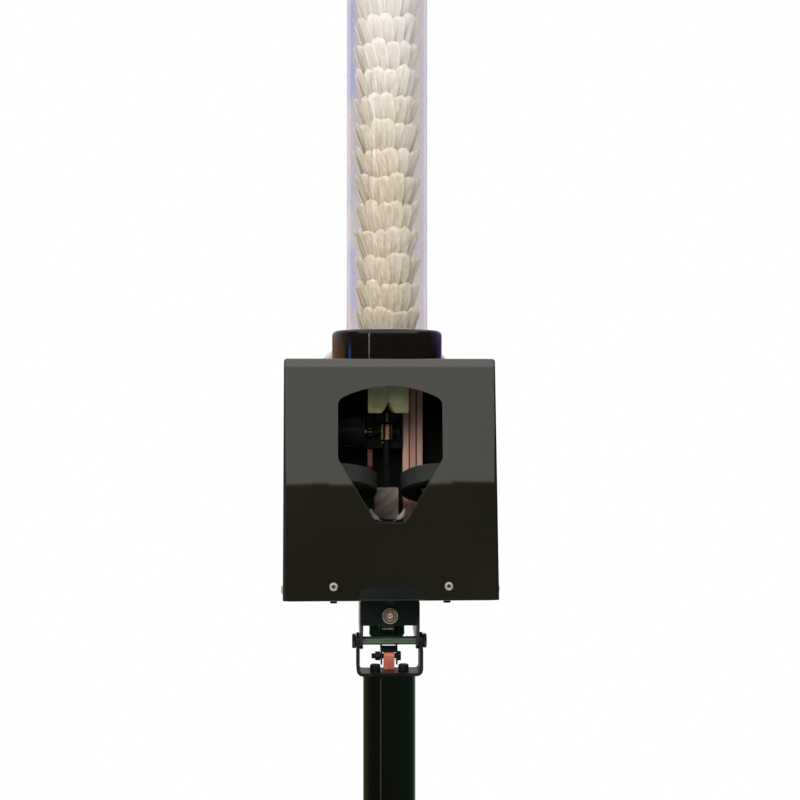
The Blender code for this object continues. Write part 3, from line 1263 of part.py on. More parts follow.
def shuttle_mesh():
    """Cork ball joined to a folded feather skirt whose wall thins to a crown of tips."""
    profile = [(0, CORK_H), (CORK_D / 2, CORK_H)]
    for i in range(3):
        angle = math.pi / 2 * i / 2
        profile.append((CORK_D / 2 * math.cos(angle), CORK_D / 2 * (1 - math.sin(angle))))
    profile[-1] = (0, 0)
    cork = turned("shuttle", profile, steps=SMALL_ROUND)
    skirt = bmesh.new()
    root = CORK_H - SKIRT_ROOT
    slope = (SKIRT_D - SKIRT_NECK) / 2 / (SHUTTLE_L - root)
    inner = []
    outer = []
    crown = []
    for i in range(2 * FEATHERS):
        angle = math.pi * i / FEATHERS
        valley = i % 2
        height = SHUTTLE_L - valley * FEATHER_TIP
        radius = SKIRT_NECK / 2 + slope * (height - root) - valley * FEATHER_FOLD
        for ring, r, z in ((inner, SKIRT_NECK / 2 - SKIRT_WALL, root), (outer, SKIRT_NECK / 2, root),
                           (crown, radius, height)):
            ring.append(skirt.verts.new((r * math.cos(angle), r * math.sin(angle), z)))
    for i in range(2 * FEATHERS):
        after = (i + 1) % (2 * FEATHERS)
        for low, high in ((outer, crown), (crown, inner), (inner, outer)):
            skirt.faces.new((low[i], low[after], high[after], high[i]))
    join(cork, from_bmesh("feathers", skirt), "feathers")
    cork.data.materials.append(new_material("shuttle", FEATHER))
    return to_mesh("shuttle", cork)


def make_shuttles(head):
    first = shuttle_mesh()
    mesh = first.data
    bpy.data.objects.remove(first, do_unlink=True)
    frame = joint_frame("shuttle_stack", (0, HOPPER_Y, CORK_LOW))
    for i in range(SHUTTLES):
        name = "shuttle_%02d" % (i + 1)
        shuttle = link_mesh(name, mesh, (0, HOPPER_Y, CORK_LOW + i * (CORK_H + FIT)))
        ride(shuttle, frame)
    ride(frame, head)


def make_machine():
    make_column()
    make_base_hub()
    for side, angle in LEG_ANGLES.items():
        make_leg(side, angle)
    make_clamp()
    pole = make_pole()
    make_yoke(pole)
    make_lug(pole)
    make_strut()

    head = joint_frame("head_tilt", (0, 0, PIVOT_Z))
    make_head_bracket(head)
    make_trunnion(head)
    make_tilt_screw(head)
    make_tray(head)
    make_hood(head)
    make_rear_panel(head)
    make_frame_post(head)
    make_boxes(head)
    for side in (-1, 1):
        make_launcher(head, side)
        make_jaw(head, side)
    make_jaw_bracket(head)
    make_pusher(head)
    make_cradle(head)
    make_hopper(head)
    make_shuttles(head)


make_machine()
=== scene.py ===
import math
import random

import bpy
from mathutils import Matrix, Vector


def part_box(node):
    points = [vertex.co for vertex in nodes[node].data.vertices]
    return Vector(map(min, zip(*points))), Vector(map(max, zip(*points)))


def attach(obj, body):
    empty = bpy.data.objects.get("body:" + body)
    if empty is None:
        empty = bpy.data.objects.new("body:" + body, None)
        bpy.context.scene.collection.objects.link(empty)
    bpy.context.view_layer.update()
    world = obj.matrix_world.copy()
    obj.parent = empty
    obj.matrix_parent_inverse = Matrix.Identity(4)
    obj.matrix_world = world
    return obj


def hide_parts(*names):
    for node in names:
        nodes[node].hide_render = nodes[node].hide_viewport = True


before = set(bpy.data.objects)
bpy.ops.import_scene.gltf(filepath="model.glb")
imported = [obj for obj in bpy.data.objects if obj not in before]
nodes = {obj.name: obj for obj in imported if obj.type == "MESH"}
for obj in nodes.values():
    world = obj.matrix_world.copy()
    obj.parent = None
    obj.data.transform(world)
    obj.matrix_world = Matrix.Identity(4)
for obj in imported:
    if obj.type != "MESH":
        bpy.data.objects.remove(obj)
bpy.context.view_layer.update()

# %% [markdown]
# # A badminton serving machine
# The imported model gives every solid at its real place, in metres. This lesson dresses those
# solids: some only get a finish, others get a smoother or richer piece over them.

MM = 0.001
SIDES = (("left", -1), ("right", 1))
print("solids in the frame:", len(nodes))

# %% [markdown]
# ## The camera
# The photograph was taken level, from just below the case's top and a little to the left,
# with a short telephoto lens. A level camera keeps upright edges parallel, so the
# tilt is exactly ninety degrees and only the heading turns.

# %% Place the camera
camera_place = Vector((-0.056, -1.399, 1.480))
camera_heading = math.radians(-2.71)
bpy.ops.object.camera_add(location=camera_place, rotation=(math.pi / 2, 0, camera_heading))
camera = bpy.context.object
camera.data.lens = 66
camera.data.sensor_width = 36
camera.data.clip_start = 0.05
bpy.context.scene.camera = camera
print("camera at", tuple(round(v, 3) for v in camera_place))

# %% [markdown]
# ## Helpers for shaders
# A shader is a chain of nodes, and every step below adds one node, sets it and joins it to the
# ones before. The first helper does that in one call. The others build on it: an operation on
# numbers, a number that runs from 0 to 1 over a stretch, a mix of two colours, a ramp of colours and
# a material that shines.

# %% Write the shader helpers
def add_node(tree, kind, inputs, **settings):
    """Adds a node and fills its inputs with values or with other nodes' outputs."""
    node = tree.nodes.new("ShaderNode" + kind)
    for setting, value in settings.items():
        setattr(node, setting, value)
    for socket, value in inputs.items():
        if isinstance(value, bpy.types.NodeSocket):
            tree.links.new(value, node.inputs[socket])
        else:
            node.inputs[socket].default_value = value
    return node


def calculate(tree, operation, *values):
    """The result of one operation on one, two or three numbers."""
    return add_node(tree, "Math", dict(enumerate(values)), operation=operation).outputs[0]


def coordinates(tree, source="Object"):
    """A texture coordinate and its three parts."""
    where = add_node(tree, "TexCoord", {}).outputs[source]
    return where, add_node(tree, "SeparateXYZ", {0: where}).outputs


def between(tree, value, start, end):
    """Runs from 0 to 1 while a value runs from start to end."""
    return add_node(tree, "MapRange", {"Value": value, "From Min": start, "From Max": end}).outputs["Result"]


def mix_colours(tree, amount, first, second, blend="MIX"):
    """Blends from one colour to another."""
    inputs = {"Factor": amount, 6: first, 7: second}
    return add_node(tree, "Mix", inputs, data_type="RGBA", blend_type=blend).outputs[2]


def colour_ramp(tree, amount, stops):
    """Colours by one number, from (place, colour) stops."""
    ramp = add_node(tree, "ValToRGB", {"Fac": amount})
    elements = ramp.color_ramp.elements
    for element, (place, colour) in zip(elements, (stops[0], stops[-1])):
        element.position = place
        element.color = (*colour, 1)
    for place, colour in stops[1:-1]:
        elements.new(place).color = (*colour, 1)
    return ramp.outputs["Color"]


def glowing(name, tree_of_colour, strength=1.0):
    """A material that shines in the colour that a function builds in its tree."""
    finish = bpy.data.materials.new(name)
    finish.use_nodes = True
    tree = finish.node_tree
    tree.nodes.clear()
    glow = add_node(tree, "Emission", {"Color": tree_of_colour(tree), "Strength": strength})
    add_node(tree, "OutputMaterial", {"Surface": glow.outputs[0]})
    return finish


print("shader helpers ready")

# %% [markdown]
# ## The studio
# A gloss black machine shows what stands around it more than its own colour. The studio therefore has
# a white room, four soft lamps, a pale floor and a dark curtain. The room gives less light than the
# camera sees in it, so the machine's shaded sides stay dark before a white background.

# %% Build the white room and its lamps
def put_down():
    """Leaves edit mode and selects nothing."""
    if bpy.context.object and bpy.context.object.mode != "OBJECT":
        bpy.ops.object.mode_set(mode="OBJECT")
    bpy.ops.object.select_all(action="DESELECT")


def pick_up(piece):
    """Selects one piece alone and makes it active."""
    put_down()
    piece.select_set(True)
    bpy.context.view_layer.objects.active = piece
    return piece


ROOM_LIGHT = 0.62
ROOM_SEEN = 1.0
scene = bpy.context.scene
scene.view_settings.view_transform = "Standard"
room = bpy.data.worlds.new("white_room")
room.use_nodes = True
scene.world = room
room_tree = room.node_tree
rays = add_node(room_tree, "LightPath", {}).outputs
sees_room = calculate(room_tree, "MAXIMUM", rays["Is Camera Ray"], rays["Is Glossy Ray"])
sees_through = calculate(room_tree, "MAXIMUM", sees_room, rays["Is Transmission Ray"])
strength = add_node(room_tree, "MapRange", {"Value": sees_through, "To Min": ROOM_LIGHT, "To Max": ROOM_SEEN})
background = room_tree.nodes["Background"]
background.inputs["Color"].default_value = (1, 1, 1, 1)
room_tree.links.new(strength.outputs["Result"], background.inputs["Strength"])


def soft_lamp(name, place, target, size, watts, tint):
    """A square lamp that reflections don't show."""
    aim = (Vector(target) - Vector(place)).to_track_quat("-Z", "Y").to_euler()
    bpy.ops.object.light_add(type="AREA", location=place, rotation=aim)
    lamp = bpy.context.object
    lamp.name = name
    lamp.data.size = size
    lamp.data.energy = watts
    lamp.data.color = tint
    lamp.visible_glossy = False
    lamp.visible_transmission = False


soft_lamp("front_lamp", (-0.5, -2.5, 2.35), (0, 0, 1.42), 0.9, 40, (1.0, 0.98, 0.95))
soft_lamp("high_lamp", (-1.7, -1.8, 3.2), (0, 0, 1.5), 1.6, 22, (1.0, 0.99, 0.97))
soft_lamp("tube_lamp", (-0.5, -1.9, 2.8), (0, 0.057, 2.0), 0.7, 20, (1.0, 1.0, 0.97))
soft_lamp("side_lamp", (2.2, -1.4, 1.5), (0, 0, 1.3), 1.6, 10, (0.95, 0.97, 1.0))

# %% [markdown]
# The curtain is a cylinder without ends around the machine, which only reflections can see. Its front
# part stops well above the case, and the leaning front panel shows that edge as a level line. Its
# sides go higher, so that the collar stays dark at both edges. Its colour depends on the direction in
# which it stands, through an arctangent of its own coordinates, and it has three sets of stripes: for
# the pole, for the case and for the tube. The stripes stand for the room's furniture that the
# photograph shows in the black collar and pole, such as a brown band far to the left, a blue line and
# a thin red one at the right. Two upright strips of light hang before it, a dim one for the pole and
# the collar and a strong one for the clear tube.

# %% Hang the curtain and lay the floor
CURTAIN_RADIUS = 3.0
CURTAIN_TOP = 2.171
CURTAIN_SIDE_TOP = 4.2
SIDE_FROM, SIDE_TO = 70, 165
POLE_TO_CASE = (0.85, 1.30)
CASE_TO_TUBE = (1.70, 1.80)
CAMERA_SIDE = 2.3
SLIT_RADIUS = 2.9
SLIT_HEADING = math.radians(-37.7 - CAMERA_SIDE)


def only_reflected(piece):
    """Makes a piece of the studio that nothing but reflections can see."""
    for rays_of in ("camera", "diffuse", "shadow", "transmission"):
        setattr(piece, "visible_" + rays_of, False)


put_down()
bpy.ops.mesh.primitive_cylinder_add(vertices=180, radius=CURTAIN_RADIUS, depth=CURTAIN_TOP,
                                    end_fill_type="NOTHING", location=(0, 0, CURTAIN_TOP / 2))
curtain = bpy.context.object
curtain.name = "dark_curtain"
bpy.ops.object.transform_apply()
only_reflected(curtain)
for point in curtain.data.vertices:
    beside = math.degrees(abs(math.atan2(point.co.x, -point.co.y)))
    if point.co.z > 1 and SIDE_FROM < beside < SIDE_TO:
        point.co.z = CURTAIN_SIDE_TOP

DARK = (0.010, 0.010, 0.008)
WHITE = (1.0, 1.0, 1.0)
UPPER_STRIPES = [(-172, WHITE), (-168, (0.16, 0.09, 0.06)), (-140, (0.62, 0.30, 0.15)),
                 (-104, (0.62, 0.30, 0.16)), (-94, DARK), (-88, DARK), (-87, (0.10, 0.80, 2.2)),
                 (-82, (0.10, 0.80, 2.2)), (-81, DARK), (100, DARK), (126, (0.012, 0.014, 0.05)),
                 (132, (0.05, 0.06, 0.30)), (150, (0.05, 0.06, 0.30)), (154, (0.45, 0.10, 0.09)),
                 (159, (0.45, 0.10, 0.09)), (163, (0.30, 0.28, 0.30)), (172, WHITE)]
LOWER_STRIPES = [(-172, WHITE), (-166, (0.28, 0.24, 0.17)), (-150, (0.20, 0.16, 0.07)),
                 (-112, (0.14, 0.11, 0.05)), (-88, DARK), (-84, (0.012, 0.018, 0.05)), (-78, DARK),
                 (20, (0.008, 0.016, 0.012)), (60, (0.012, 0.070, 0.050)), (105, (0.016, 0.075, 0.052)),
                 (124, (0.04, 0.11, 0.08)), (140, (0.22, 0.30, 0.22)), (166, (0.50, 0.56, 0.46)),
                 (172, WHITE)]
TUBE_STRIPES = [(-172, WHITE), (-160, (0.70, 0.62, 0.66)), (-120, (0.55, 0.40, 0.38)),
                (-100, (0.20, 0.14, 0.14)), (-80, DARK), (100, DARK), (118, (0.16, 0.12, 0.30)),
                (150, (0.34, 0.26, 0.62)), (162, (0.50, 0.42, 0.70)), (172, WHITE)]


def stripes_by_height(tree):
    """Three sets of stripes by direction, counted from the camera, positive to the right."""
    parts = coordinates(tree)[1]
    backwards = calculate(tree, "MULTIPLY", parts["Y"], -1)
    turn = calculate(tree, "ARCTAN2", parts["X"], backwards)
    around = between(tree, turn, -math.pi, math.pi)
    ramps = []
    for stripes in (UPPER_STRIPES, LOWER_STRIPES, TUBE_STRIPES):
        stops = [((degrees - CAMERA_SIDE + 180) / 360, colour) for degrees, colour in stripes]
        ramps.append(colour_ramp(tree, around, stops))
    upper, lower, beside_tube = ramps
    below_tube = mix_colours(tree, between(tree, parts["Z"], *POLE_TO_CASE), lower, upper)
    return mix_colours(tree, between(tree, parts["Z"], *CASE_TO_TUBE), below_tube, beside_tube)


def light_slit(name, low, high, strength, width):
    """An upright strip of light."""
    put_down()
    place = (SLIT_RADIUS * math.sin(SLIT_HEADING), -SLIT_RADIUS * math.cos(SLIT_HEADING), (low + high) / 2)
    bpy.ops.mesh.primitive_plane_add(size=1, rotation=(math.pi / 2, 0, SLIT_HEADING), location=place)
    slit = bpy.context.object
    slit.name = name
    slit.scale = (width, high - low, 1)
    bpy.ops.object.transform_apply()
    slit.data.materials.append(glowing(name, lambda tree: (1.0, 0.96, 0.86, 1), strength))
    only_reflected(slit)


curtain.data.materials.append(glowing("curtain_cloth", stripes_by_height))
light_slit("low_slit", 0.04, 1.66, 2.6, 0.08)
light_slit("tube_slit", 1.67, 2.38, 9, 0.05)

put_down()
bpy.ops.mesh.primitive_plane_add(size=6)
floor = bpy.context.object
floor.name = "pale_floor"
paper = bpy.data.materials.new("floor_paper")
paper.use_nodes = True
paper_shader = paper.node_tree.nodes["Principled BSDF"]
paper_shader.inputs["Base Color"].default_value = (0.86, 0.86, 0.86, 1)
paper_shader.inputs["Roughness"].default_value = 0.9
floor.data.materials.append(paper)
print("curtain stripes:", len(UPPER_STRIPES), len(LOWER_STRIPES), len(TUBE_STRIPES))

# %% [markdown]
# ## Finishes
# Real paint, plastic and metal are never one flat number. Each finish here mixes two close tones with
# a slow noise, lets the same noise change the roughness a little, and adds a fine grain as a
# bump. The three are driven by the piece's own coordinates, so the pattern has a real
# size in metres and stays on the piece when it moves.

# %% A helper for painted, moulded and metal finishes
def make_finish(name, dark, light, roughness, cloud, grain, relief=0.15, depth=0.05,
                stretch=(1, 1, 1), lay=(0, 0, 0), **sockets):
    """Two tones by slow noise, roughness by the same noise and a fine grain, its depth in millimetres."""
    finish = bpy.data.materials.new(name)
    finish.use_nodes = True
    tree = finish.node_tree
    shader = tree.nodes["Principled BSDF"]
    where = add_node(tree, "TexCoord", {}).outputs["Object"]
    turned = {"Vector": where, "Rotation": lay, "Scale": [1 / value for value in stretch]}
    mapped = add_node(tree, "Mapping", turned, vector_type="TEXTURE").outputs[0]
    clouds = add_node(tree, "TexNoise", {"Vector": mapped, "Scale": cloud, "Detail": 4}).outputs["Fac"]
    tones = colour_ramp(tree, clouds, [(0.32, dark), (0.68, light)])
    tree.links.new(tones, shader.inputs["Base Color"])
    gloss = add_node(tree, "MapRange", {"Value": clouds, "To Min": roughness[0], "To Max": roughness[1]})
    tree.links.new(gloss.outputs["Result"], shader.inputs["Roughness"])
    if grain:
        fine = add_node(tree, "TexNoise", {"Vector": mapped, "Scale": grain}).outputs["Fac"]
        bump = add_node(tree, "Bump", {"Height": fine, "Strength": relief, "Distance": depth * MM})
        tree.links.new(bump.outputs["Normal"], shader.inputs["Normal"])
    for socket, value in sockets.items():
        shader.inputs[socket.replace("_", " ")].default_value = value
    return finish


def over_base(finish, amount_of, colour, blend="MIX"):
    """Blends one more colour into a finish, by an amount that a function builds in its tree."""
    tree = finish.node_tree
    base = tree.nodes["Principled BSDF"].inputs["Base Color"]
    mixed = mix_colours(tree, amount_of(tree), base.links[0].from_socket, (*colour, 1), blend)
    tree.links.new(mixed, base)


def tone_along(finish, axis, start, end, colour, blend="MIX"):
    """Blends one more colour in where the object's coordinate runs from start to end."""
    over_base(finish, lambda tree: between(tree, coordinates(tree)[1][axis], start, end), colour, blend)


print("finish helpers ready")

# %% [markdown]
# The case is bent steel under a deep gloss black, so its reflection is nearly a mirror, while the
# stand, yoke and bracket wear a satin black whose fine orange peel breaks the reflection up.
# The difference between the two blacks is mostly roughness. A slightly higher index of refraction
# gives the case the strong grey reflection that the photograph shows. A painted highlight lightens
# the paint along the top fold of the front, where the bend catches the light: a tone by height paints
# it, and a tone by depth keeps the roof a plain black.

# %% Black finishes
case_gloss = make_finish("case_gloss_black", (0.0066, 0.0062, 0.0040), (0.0100, 0.0094, 0.0062),
                         (0.015, 0.035), cloud=7, grain=260, relief=0.01, depth=0.02, IOR=1.68,
                         Specular_Tint=(1.0, 0.98, 0.92, 1))
# Painted highlight: the top fold of the front is lighter by height, and the roof keeps a plain black by
# depth.
TOP_FOLD_HIGHLIGHT_FROM, TOP_FOLD_HIGHLIGHT_FULLY = 1.5106, 1.5122
ROOF_FROM, ROOF_FULLY = -14 * MM, -12.5 * MM
tone_along(case_gloss, "Z", TOP_FOLD_HIGHLIGHT_FROM, TOP_FOLD_HIGHLIGHT_FULLY, (0.040, 0.039, 0.036))
tone_along(case_gloss, "Y", ROOF_FROM, ROOF_FULLY, (0.0083, 0.0078, 0.0051))
pole_gloss = make_finish("pole_gloss_black", (0.0018, 0.0022, 0.0016), (0.0036, 0.0040, 0.0030),
                         (0.06, 0.10), cloud=5, grain=400, relief=0.02, depth=0.02)
collar_gloss = make_finish("collar_gloss_black", (0.0046, 0.0034, 0.0026), (0.0072, 0.0054, 0.0042),
                           (0.05, 0.09), cloud=20, grain=500, relief=0.02, depth=0.02)
satin_black = make_finish("satin_black_powder_coat", (0.0045, 0.0048, 0.0043), (0.0085, 0.0090, 0.0080),
                          (0.36, 0.50), cloud=14, grain=1400, relief=0.22, depth=0.06, IOR=1.40)
knob_green = make_finish("dark_green_knob", (0.0008, 0.0130, 0.0085), (0.0022, 0.0270, 0.0180),
                         (0.26, 0.38), cloud=45, grain=1600, relief=0.12, depth=0.04, IOR=1.42)
joint_black = make_finish("tilt_joint_black", (0.0035, 0.0055, 0.0045), (0.0065, 0.0095, 0.0080),
                          (0.20, 0.30), cloud=30, grain=1600, relief=0.10, depth=0.04, IOR=1.38)
moulded_black = make_finish("moulded_black_plastic", (0.010, 0.010, 0.010), (0.018, 0.018, 0.017),
                            (0.42, 0.58), cloud=40, grain=2600, relief=0.30, depth=0.05)
foot_rubber = make_finish("foot_rubber", (0.012, 0.012, 0.012), (0.024, 0.024, 0.023),
                          (0.72, 0.9), cloud=30, grain=1800, relief=0.4, depth=0.1)
tread_rubber = make_finish("wheel_tread_rubber", (0.010, 0.0115, 0.0095), (0.019, 0.0205, 0.018),
                           (0.62, 0.82), cloud=60, grain=2200, relief=0.45, depth=0.1)

# %% [markdown]
# Metal is shown mostly by its reflection. The bolt, the pusher's head and the post get a noise squeezed
# along one axis, which reads as the fine lines of turning, brushing or extruding. The other metals
# keep a soft grain.

# %% Metal finishes
zinc_steel = make_finish("zinc_plated_steel", (0.34, 0.35, 0.28), (0.48, 0.47, 0.39), (0.22, 0.38),
                         cloud=60, grain=2400, relief=0.10, depth=0.02, Metallic=1.0)
nickel = make_finish("nickel_screw", (0.34, 0.30, 0.22), (0.50, 0.445, 0.35), (0.18, 0.30),
                     cloud=200, grain=3000, relief=0.06, depth=0.01, Metallic=0.5)
# The bolt's green tint is a painted reflection of a green floor, mixed into the zinc's colour.
bolt_zinc = make_finish("zinc_with_green_reflection", (0.12, 0.18, 0.12), (0.20, 0.27, 0.19), (0.42, 0.52),
                        cloud=70, grain=2400, relief=0.08, depth=0.02, stretch=(0.3, 1, 1), Metallic=0.9)
brushed_head = make_finish("brushed_pusher_steel", (0.012, 0.009, 0.0075), (0.27, 0.225, 0.20), (0.30, 0.44),
                           cloud=62, grain=1200, relief=0.12, depth=0.03, stretch=(1, 0.2, 0.20),
                           lay=(0, math.radians(50), 0), Metallic=0.25)
turned_brass = make_finish("turned_brass", (0.22, 0.14, 0.055), (0.46, 0.30, 0.13), (0.20, 0.34),
                           cloud=210, grain=1600, relief=0.08, depth=0.02, Metallic=0.5)
# This bright copper paints the highlight on the pusher's bush.
bush_highlight_bronze = make_finish("bush_bronze_highlight", (0.40, 0.16, 0.070), (0.85, 0.46, 0.24), (0.20, 0.34),
                            cloud=300, grain=1600, relief=0.08, depth=0.02, Metallic=0.4)
washer_nickel = make_finish("washer_nickel", (0.22, 0.205, 0.150), (0.34, 0.315, 0.245), (0.18, 0.30),
                            cloud=200, grain=3000, relief=0.06, depth=0.01, Metallic=0.5)
# The seal's dark brown also paints the shade in the gaps of the post's slot.
seal_and_gap_shade = make_finish("brown_slot_seal_and_gap_shade", (0.085, 0.034, 0.028), (0.15, 0.060, 0.050), (0.5, 0.7), cloud=60,
                         grain=1800, relief=0.3, depth=0.05)
dull_nickel = make_finish("dull_nut", (0.20, 0.18, 0.14), (0.46, 0.42, 0.34), (0.25, 0.40),
                          cloud=420, grain=3000, relief=0.1, depth=0.02, Metallic=0.4)
post_aluminium = make_finish("frame_post_aluminium", (0.56, 0.32, 0.25), (0.78, 0.48, 0.385), (0.34, 0.46),
                             cloud=20, grain=1600, relief=0.10, depth=0.02, stretch=(8, 8, 0.4),
                             Metallic=0.30)
red_anodised = make_finish("red_anodised_aluminium", (0.44, 0.115, 0.068), (0.60, 0.18, 0.115), (0.34, 0.46),
                           cloud=160, grain=2600, relief=0.12, depth=0.02, Metallic=0.35)
core_pink = make_finish("copper_tinted_core", (0.34, 0.19, 0.15), (0.48, 0.30, 0.25), (0.25, 0.40),
                        cloud=400, grain=2600, relief=0.1, depth=0.02, Metallic=0.3)

# %% [markdown]
# The jaws are cast in a soft olive silicone that lets light in for a few millimetres, which subsurface
# scattering gives. The remaining finishes differ mostly in colour and gloss.

# %% Plastic and silicone finishes
jaw_silicone = make_finish("green_jaw_silicone", (0.135, 0.132, 0.060), (0.190, 0.205, 0.105), (0.26, 0.38),
                           cloud=50, grain=900, relief=0.06, depth=0.05, Subsurface_Weight=0.35,
                           Subsurface_Radius=(0.5, 0.55, 0.3), Subsurface_Scale=6 * MM)
handle_grey = make_finish("grey_handle_plastic", (0.50, 0.51, 0.52), (0.60, 0.61, 0.61), (0.42, 0.56),
                          cloud=40, grain=2200, relief=0.2, depth=0.05)
trough_grey = make_finish("polished_trough", (0.030, 0.029, 0.028), (0.060, 0.058, 0.055), (0.30, 0.42),
                          cloud=60, grain=800, relief=0.04, depth=0.02)
lip_cream = make_finish("cradle_lip_polish", (0.26, 0.24, 0.20), (0.44, 0.42, 0.37), (0.16, 0.28),
                        cloud=120, grain=900, relief=0.06, depth=0.02, Metallic=0.35)
# This dull grey paints a dim reflection on the pusher's bush.
bush_reflection_grey = make_finish("bush_reflection_grey", (0.028, 0.030, 0.024), (0.062, 0.064, 0.052), (0.30, 0.42), cloud=160,
                         grain=2400, relief=0.08, depth=0.02)
lever_red = make_finish("red_lever_sleeve", (0.070, 0.024, 0.018), (0.132, 0.048, 0.038), (0.34, 0.46),
                        cloud=80, grain=1500, relief=0.1, depth=0.03)
board_green = make_finish("circuit_board", (0.010, 0.085, 0.035), (0.020, 0.140, 0.060), (0.30, 0.45),
                          cloud=220, grain=1200, relief=0.25, depth=0.05)
chip_black = make_finish("component_black", (0.012, 0.012, 0.013), (0.028, 0.028, 0.030), (0.35, 0.5),
                         cloud=300, grain=2600, relief=0.2, depth=0.03)
battery_wrap = make_finish("battery_shrink_wrap", (0.018, 0.050, 0.150), (0.035, 0.085, 0.220), (0.22, 0.36),
                           cloud=30, grain=500, relief=0.25, depth=0.2)
seal_white = make_finish("tube_seal", (0.70, 0.68, 0.64), (0.80, 0.78, 0.75), (0.4, 0.55),
                         cloud=60, grain=1500, relief=0.1, depth=0.05)
print("finishes so far:", len(bpy.data.materials))

# %% [markdown]
# ## Working tools
# A few small tools do most of the modelling. One copies a solid whose shape is already
# right, welds its loose triangles and rounds its edges, because a real edge always shows a thin line of
# light. One is a lathe: a circle is extruded ring by ring and scaled. One sweeps an outline into a
# plate. The last hands a finished piece over to the body that carries it. The tools take widths,
# rings and roundings in millimetres, and places in metres.

# %% Soften, turn, sweep and hand over
def shape_by(piece, kind, **settings):
    """Adds one modifier with its settings and applies it."""
    step = piece.modifiers.new(kind.lower(), kind)
    for setting, value in settings.items():
        setattr(step, setting, value)
    bpy.ops.object.modifier_apply(modifier=step.name)


def mesh_piece(name, points, faces):
    """A new object from points and faces, picked up."""
    mesh = bpy.data.meshes.new(name)
    mesh.from_pydata(points, [], faces)
    piece = bpy.data.objects.new(name, mesh)
    scene.collection.objects.link(piece)
    return pick_up(piece)


def hand_over(piece, body, slot, finish, *stands_for):
    """Gives a piece its finish, its body and the solids that it stands for."""
    if finish is not None:
        piece.data.materials.clear()
        piece.data.materials.append(finish)
    piece.data.name = piece.name
    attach(piece, body)
    if stands_for:
        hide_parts(*stands_for)


def round_edges(piece, width, segments=2, angle=30):
    """Rounds a piece's sharp edges and evens out its shading."""
    pick_up(piece)
    shape_by(piece, "BEVEL", width=width * MM, segments=segments, limit_method="ANGLE",
             angle_limit=math.radians(angle))
    bpy.ops.object.shade_smooth_by_angle(angle=math.radians(32))
    shape_by(piece, "TRIANGULATE", min_vertices=5)
    shape_by(piece, "WEIGHTED_NORMAL", keep_sharp=True, weight=100)


def soften(node, name, width, segments, angle=30):
    """A welded copy of a solid with rounded edges."""
    piece = bpy.data.objects.new(name, nodes[node].data.copy())
    scene.collection.objects.link(piece)
    pick_up(piece)
    bpy.ops.object.mode_set(mode="EDIT")
    bpy.ops.mesh.select_all(action="SELECT")
    bpy.ops.mesh.remove_doubles(threshold=0.004 * MM)
    bpy.ops.mesh.dissolve_limited(angle_limit=math.radians(0.6))
    bpy.ops.object.mode_set(mode="OBJECT")
    round_edges(piece, width, segments, angle)
    return piece


def dress(node, name, body, slot, finish, width, segments=2, angle=30):
    """Softens a solid and hands the copy over in its place."""
    piece = soften(node, name, width, segments, angle)
    hand_over(piece, body, slot, finish, node)
    return piece


def turn_piece(name, rings, steps, hollow=False, soft=0, stand=(0, 0, 0), lean=(0, 0, 0)):
    """Extrudes a circle through (radius, height) rings, then leans it and sets it in place."""
    put_down()
    radius, height = (value * MM for value in rings[0])
    bpy.ops.mesh.primitive_circle_add(vertices=steps, radius=radius, location=(0, 0, height))
    piece = bpy.context.object
    piece.name = name
    bpy.ops.object.transform_apply()
    bpy.ops.object.mode_set(mode="EDIT")
    bpy.ops.mesh.select_mode(type="EDGE")
    bpy.ops.mesh.select_all(action="SELECT")
    for ring in rings[1:]:
        next_radius, next_height = (value * MM for value in ring)
        bpy.ops.mesh.extrude_region_move(TRANSFORM_OT_translate={"value": (0, 0, next_height - height)})
        grow = next_radius / radius
        bpy.ops.transform.resize(value=(grow, grow, 1), center_override=(0, 0, 0))
        radius, height = next_radius, next_height
    if hollow:
        bpy.ops.mesh.select_all(action="DESELECT")
        bpy.ops.mesh.select_non_manifold(extend=False, use_wire=False, use_boundary=True,
                                         use_multi_face=False, use_non_contiguous=False, use_verts=False)
        bpy.ops.mesh.bridge_edge_loops()
    else:
        bpy.ops.mesh.select_all(action="SELECT")
        bpy.ops.mesh.fill_holes(sides=0)
    bpy.ops.mesh.select_all(action="SELECT")
    bpy.ops.mesh.normals_make_consistent(inside=False)
    bpy.ops.object.mode_set(mode="OBJECT")
    piece.rotation_euler = lean
    piece.location = stand
    bpy.ops.object.transform_apply()
    if soft:
        round_edges(piece, soft)
    else:
        bpy.ops.object.shade_smooth_by_angle(angle=math.radians(32))
    return piece


def sweep(name, corners, path):
    """A closed plate from an outline in space, swept along a path."""
    piece = mesh_piece(name, corners, [list(range(len(corners)))])
    bpy.ops.object.mode_set(mode="EDIT")
    bpy.ops.mesh.select_all(action="SELECT")
    bpy.ops.mesh.extrude_region_move(TRANSFORM_OT_translate={"value": path})
    bpy.ops.mesh.select_all(action="SELECT")
    bpy.ops.mesh.normals_make_consistent(inside=False)
    bpy.ops.object.mode_set(mode="OBJECT")
    return piece


def cut_away(piece, cutter):
    """Cuts a closed cutter out of a piece and removes the cutter."""
    pick_up(piece)
    shape_by(piece, "BOOLEAN", operation="DIFFERENCE", solver="EXACT", object=cutter)
    bpy.data.objects.remove(cutter, do_unlink=True)


def weld_together(name, main, *others):
    """Joins several meshes into one object, each keeping its finish."""
    put_down()
    for piece in others:
        piece.select_set(True)
    main.select_set(True)
    bpy.context.view_layer.objects.active = main
    bpy.ops.object.join()
    main.name = name
    return main


def in_finish(finish, piece):
    """Gives a finish to a piece that will be welded to others."""
    piece.data.materials.append(finish)
    return piece


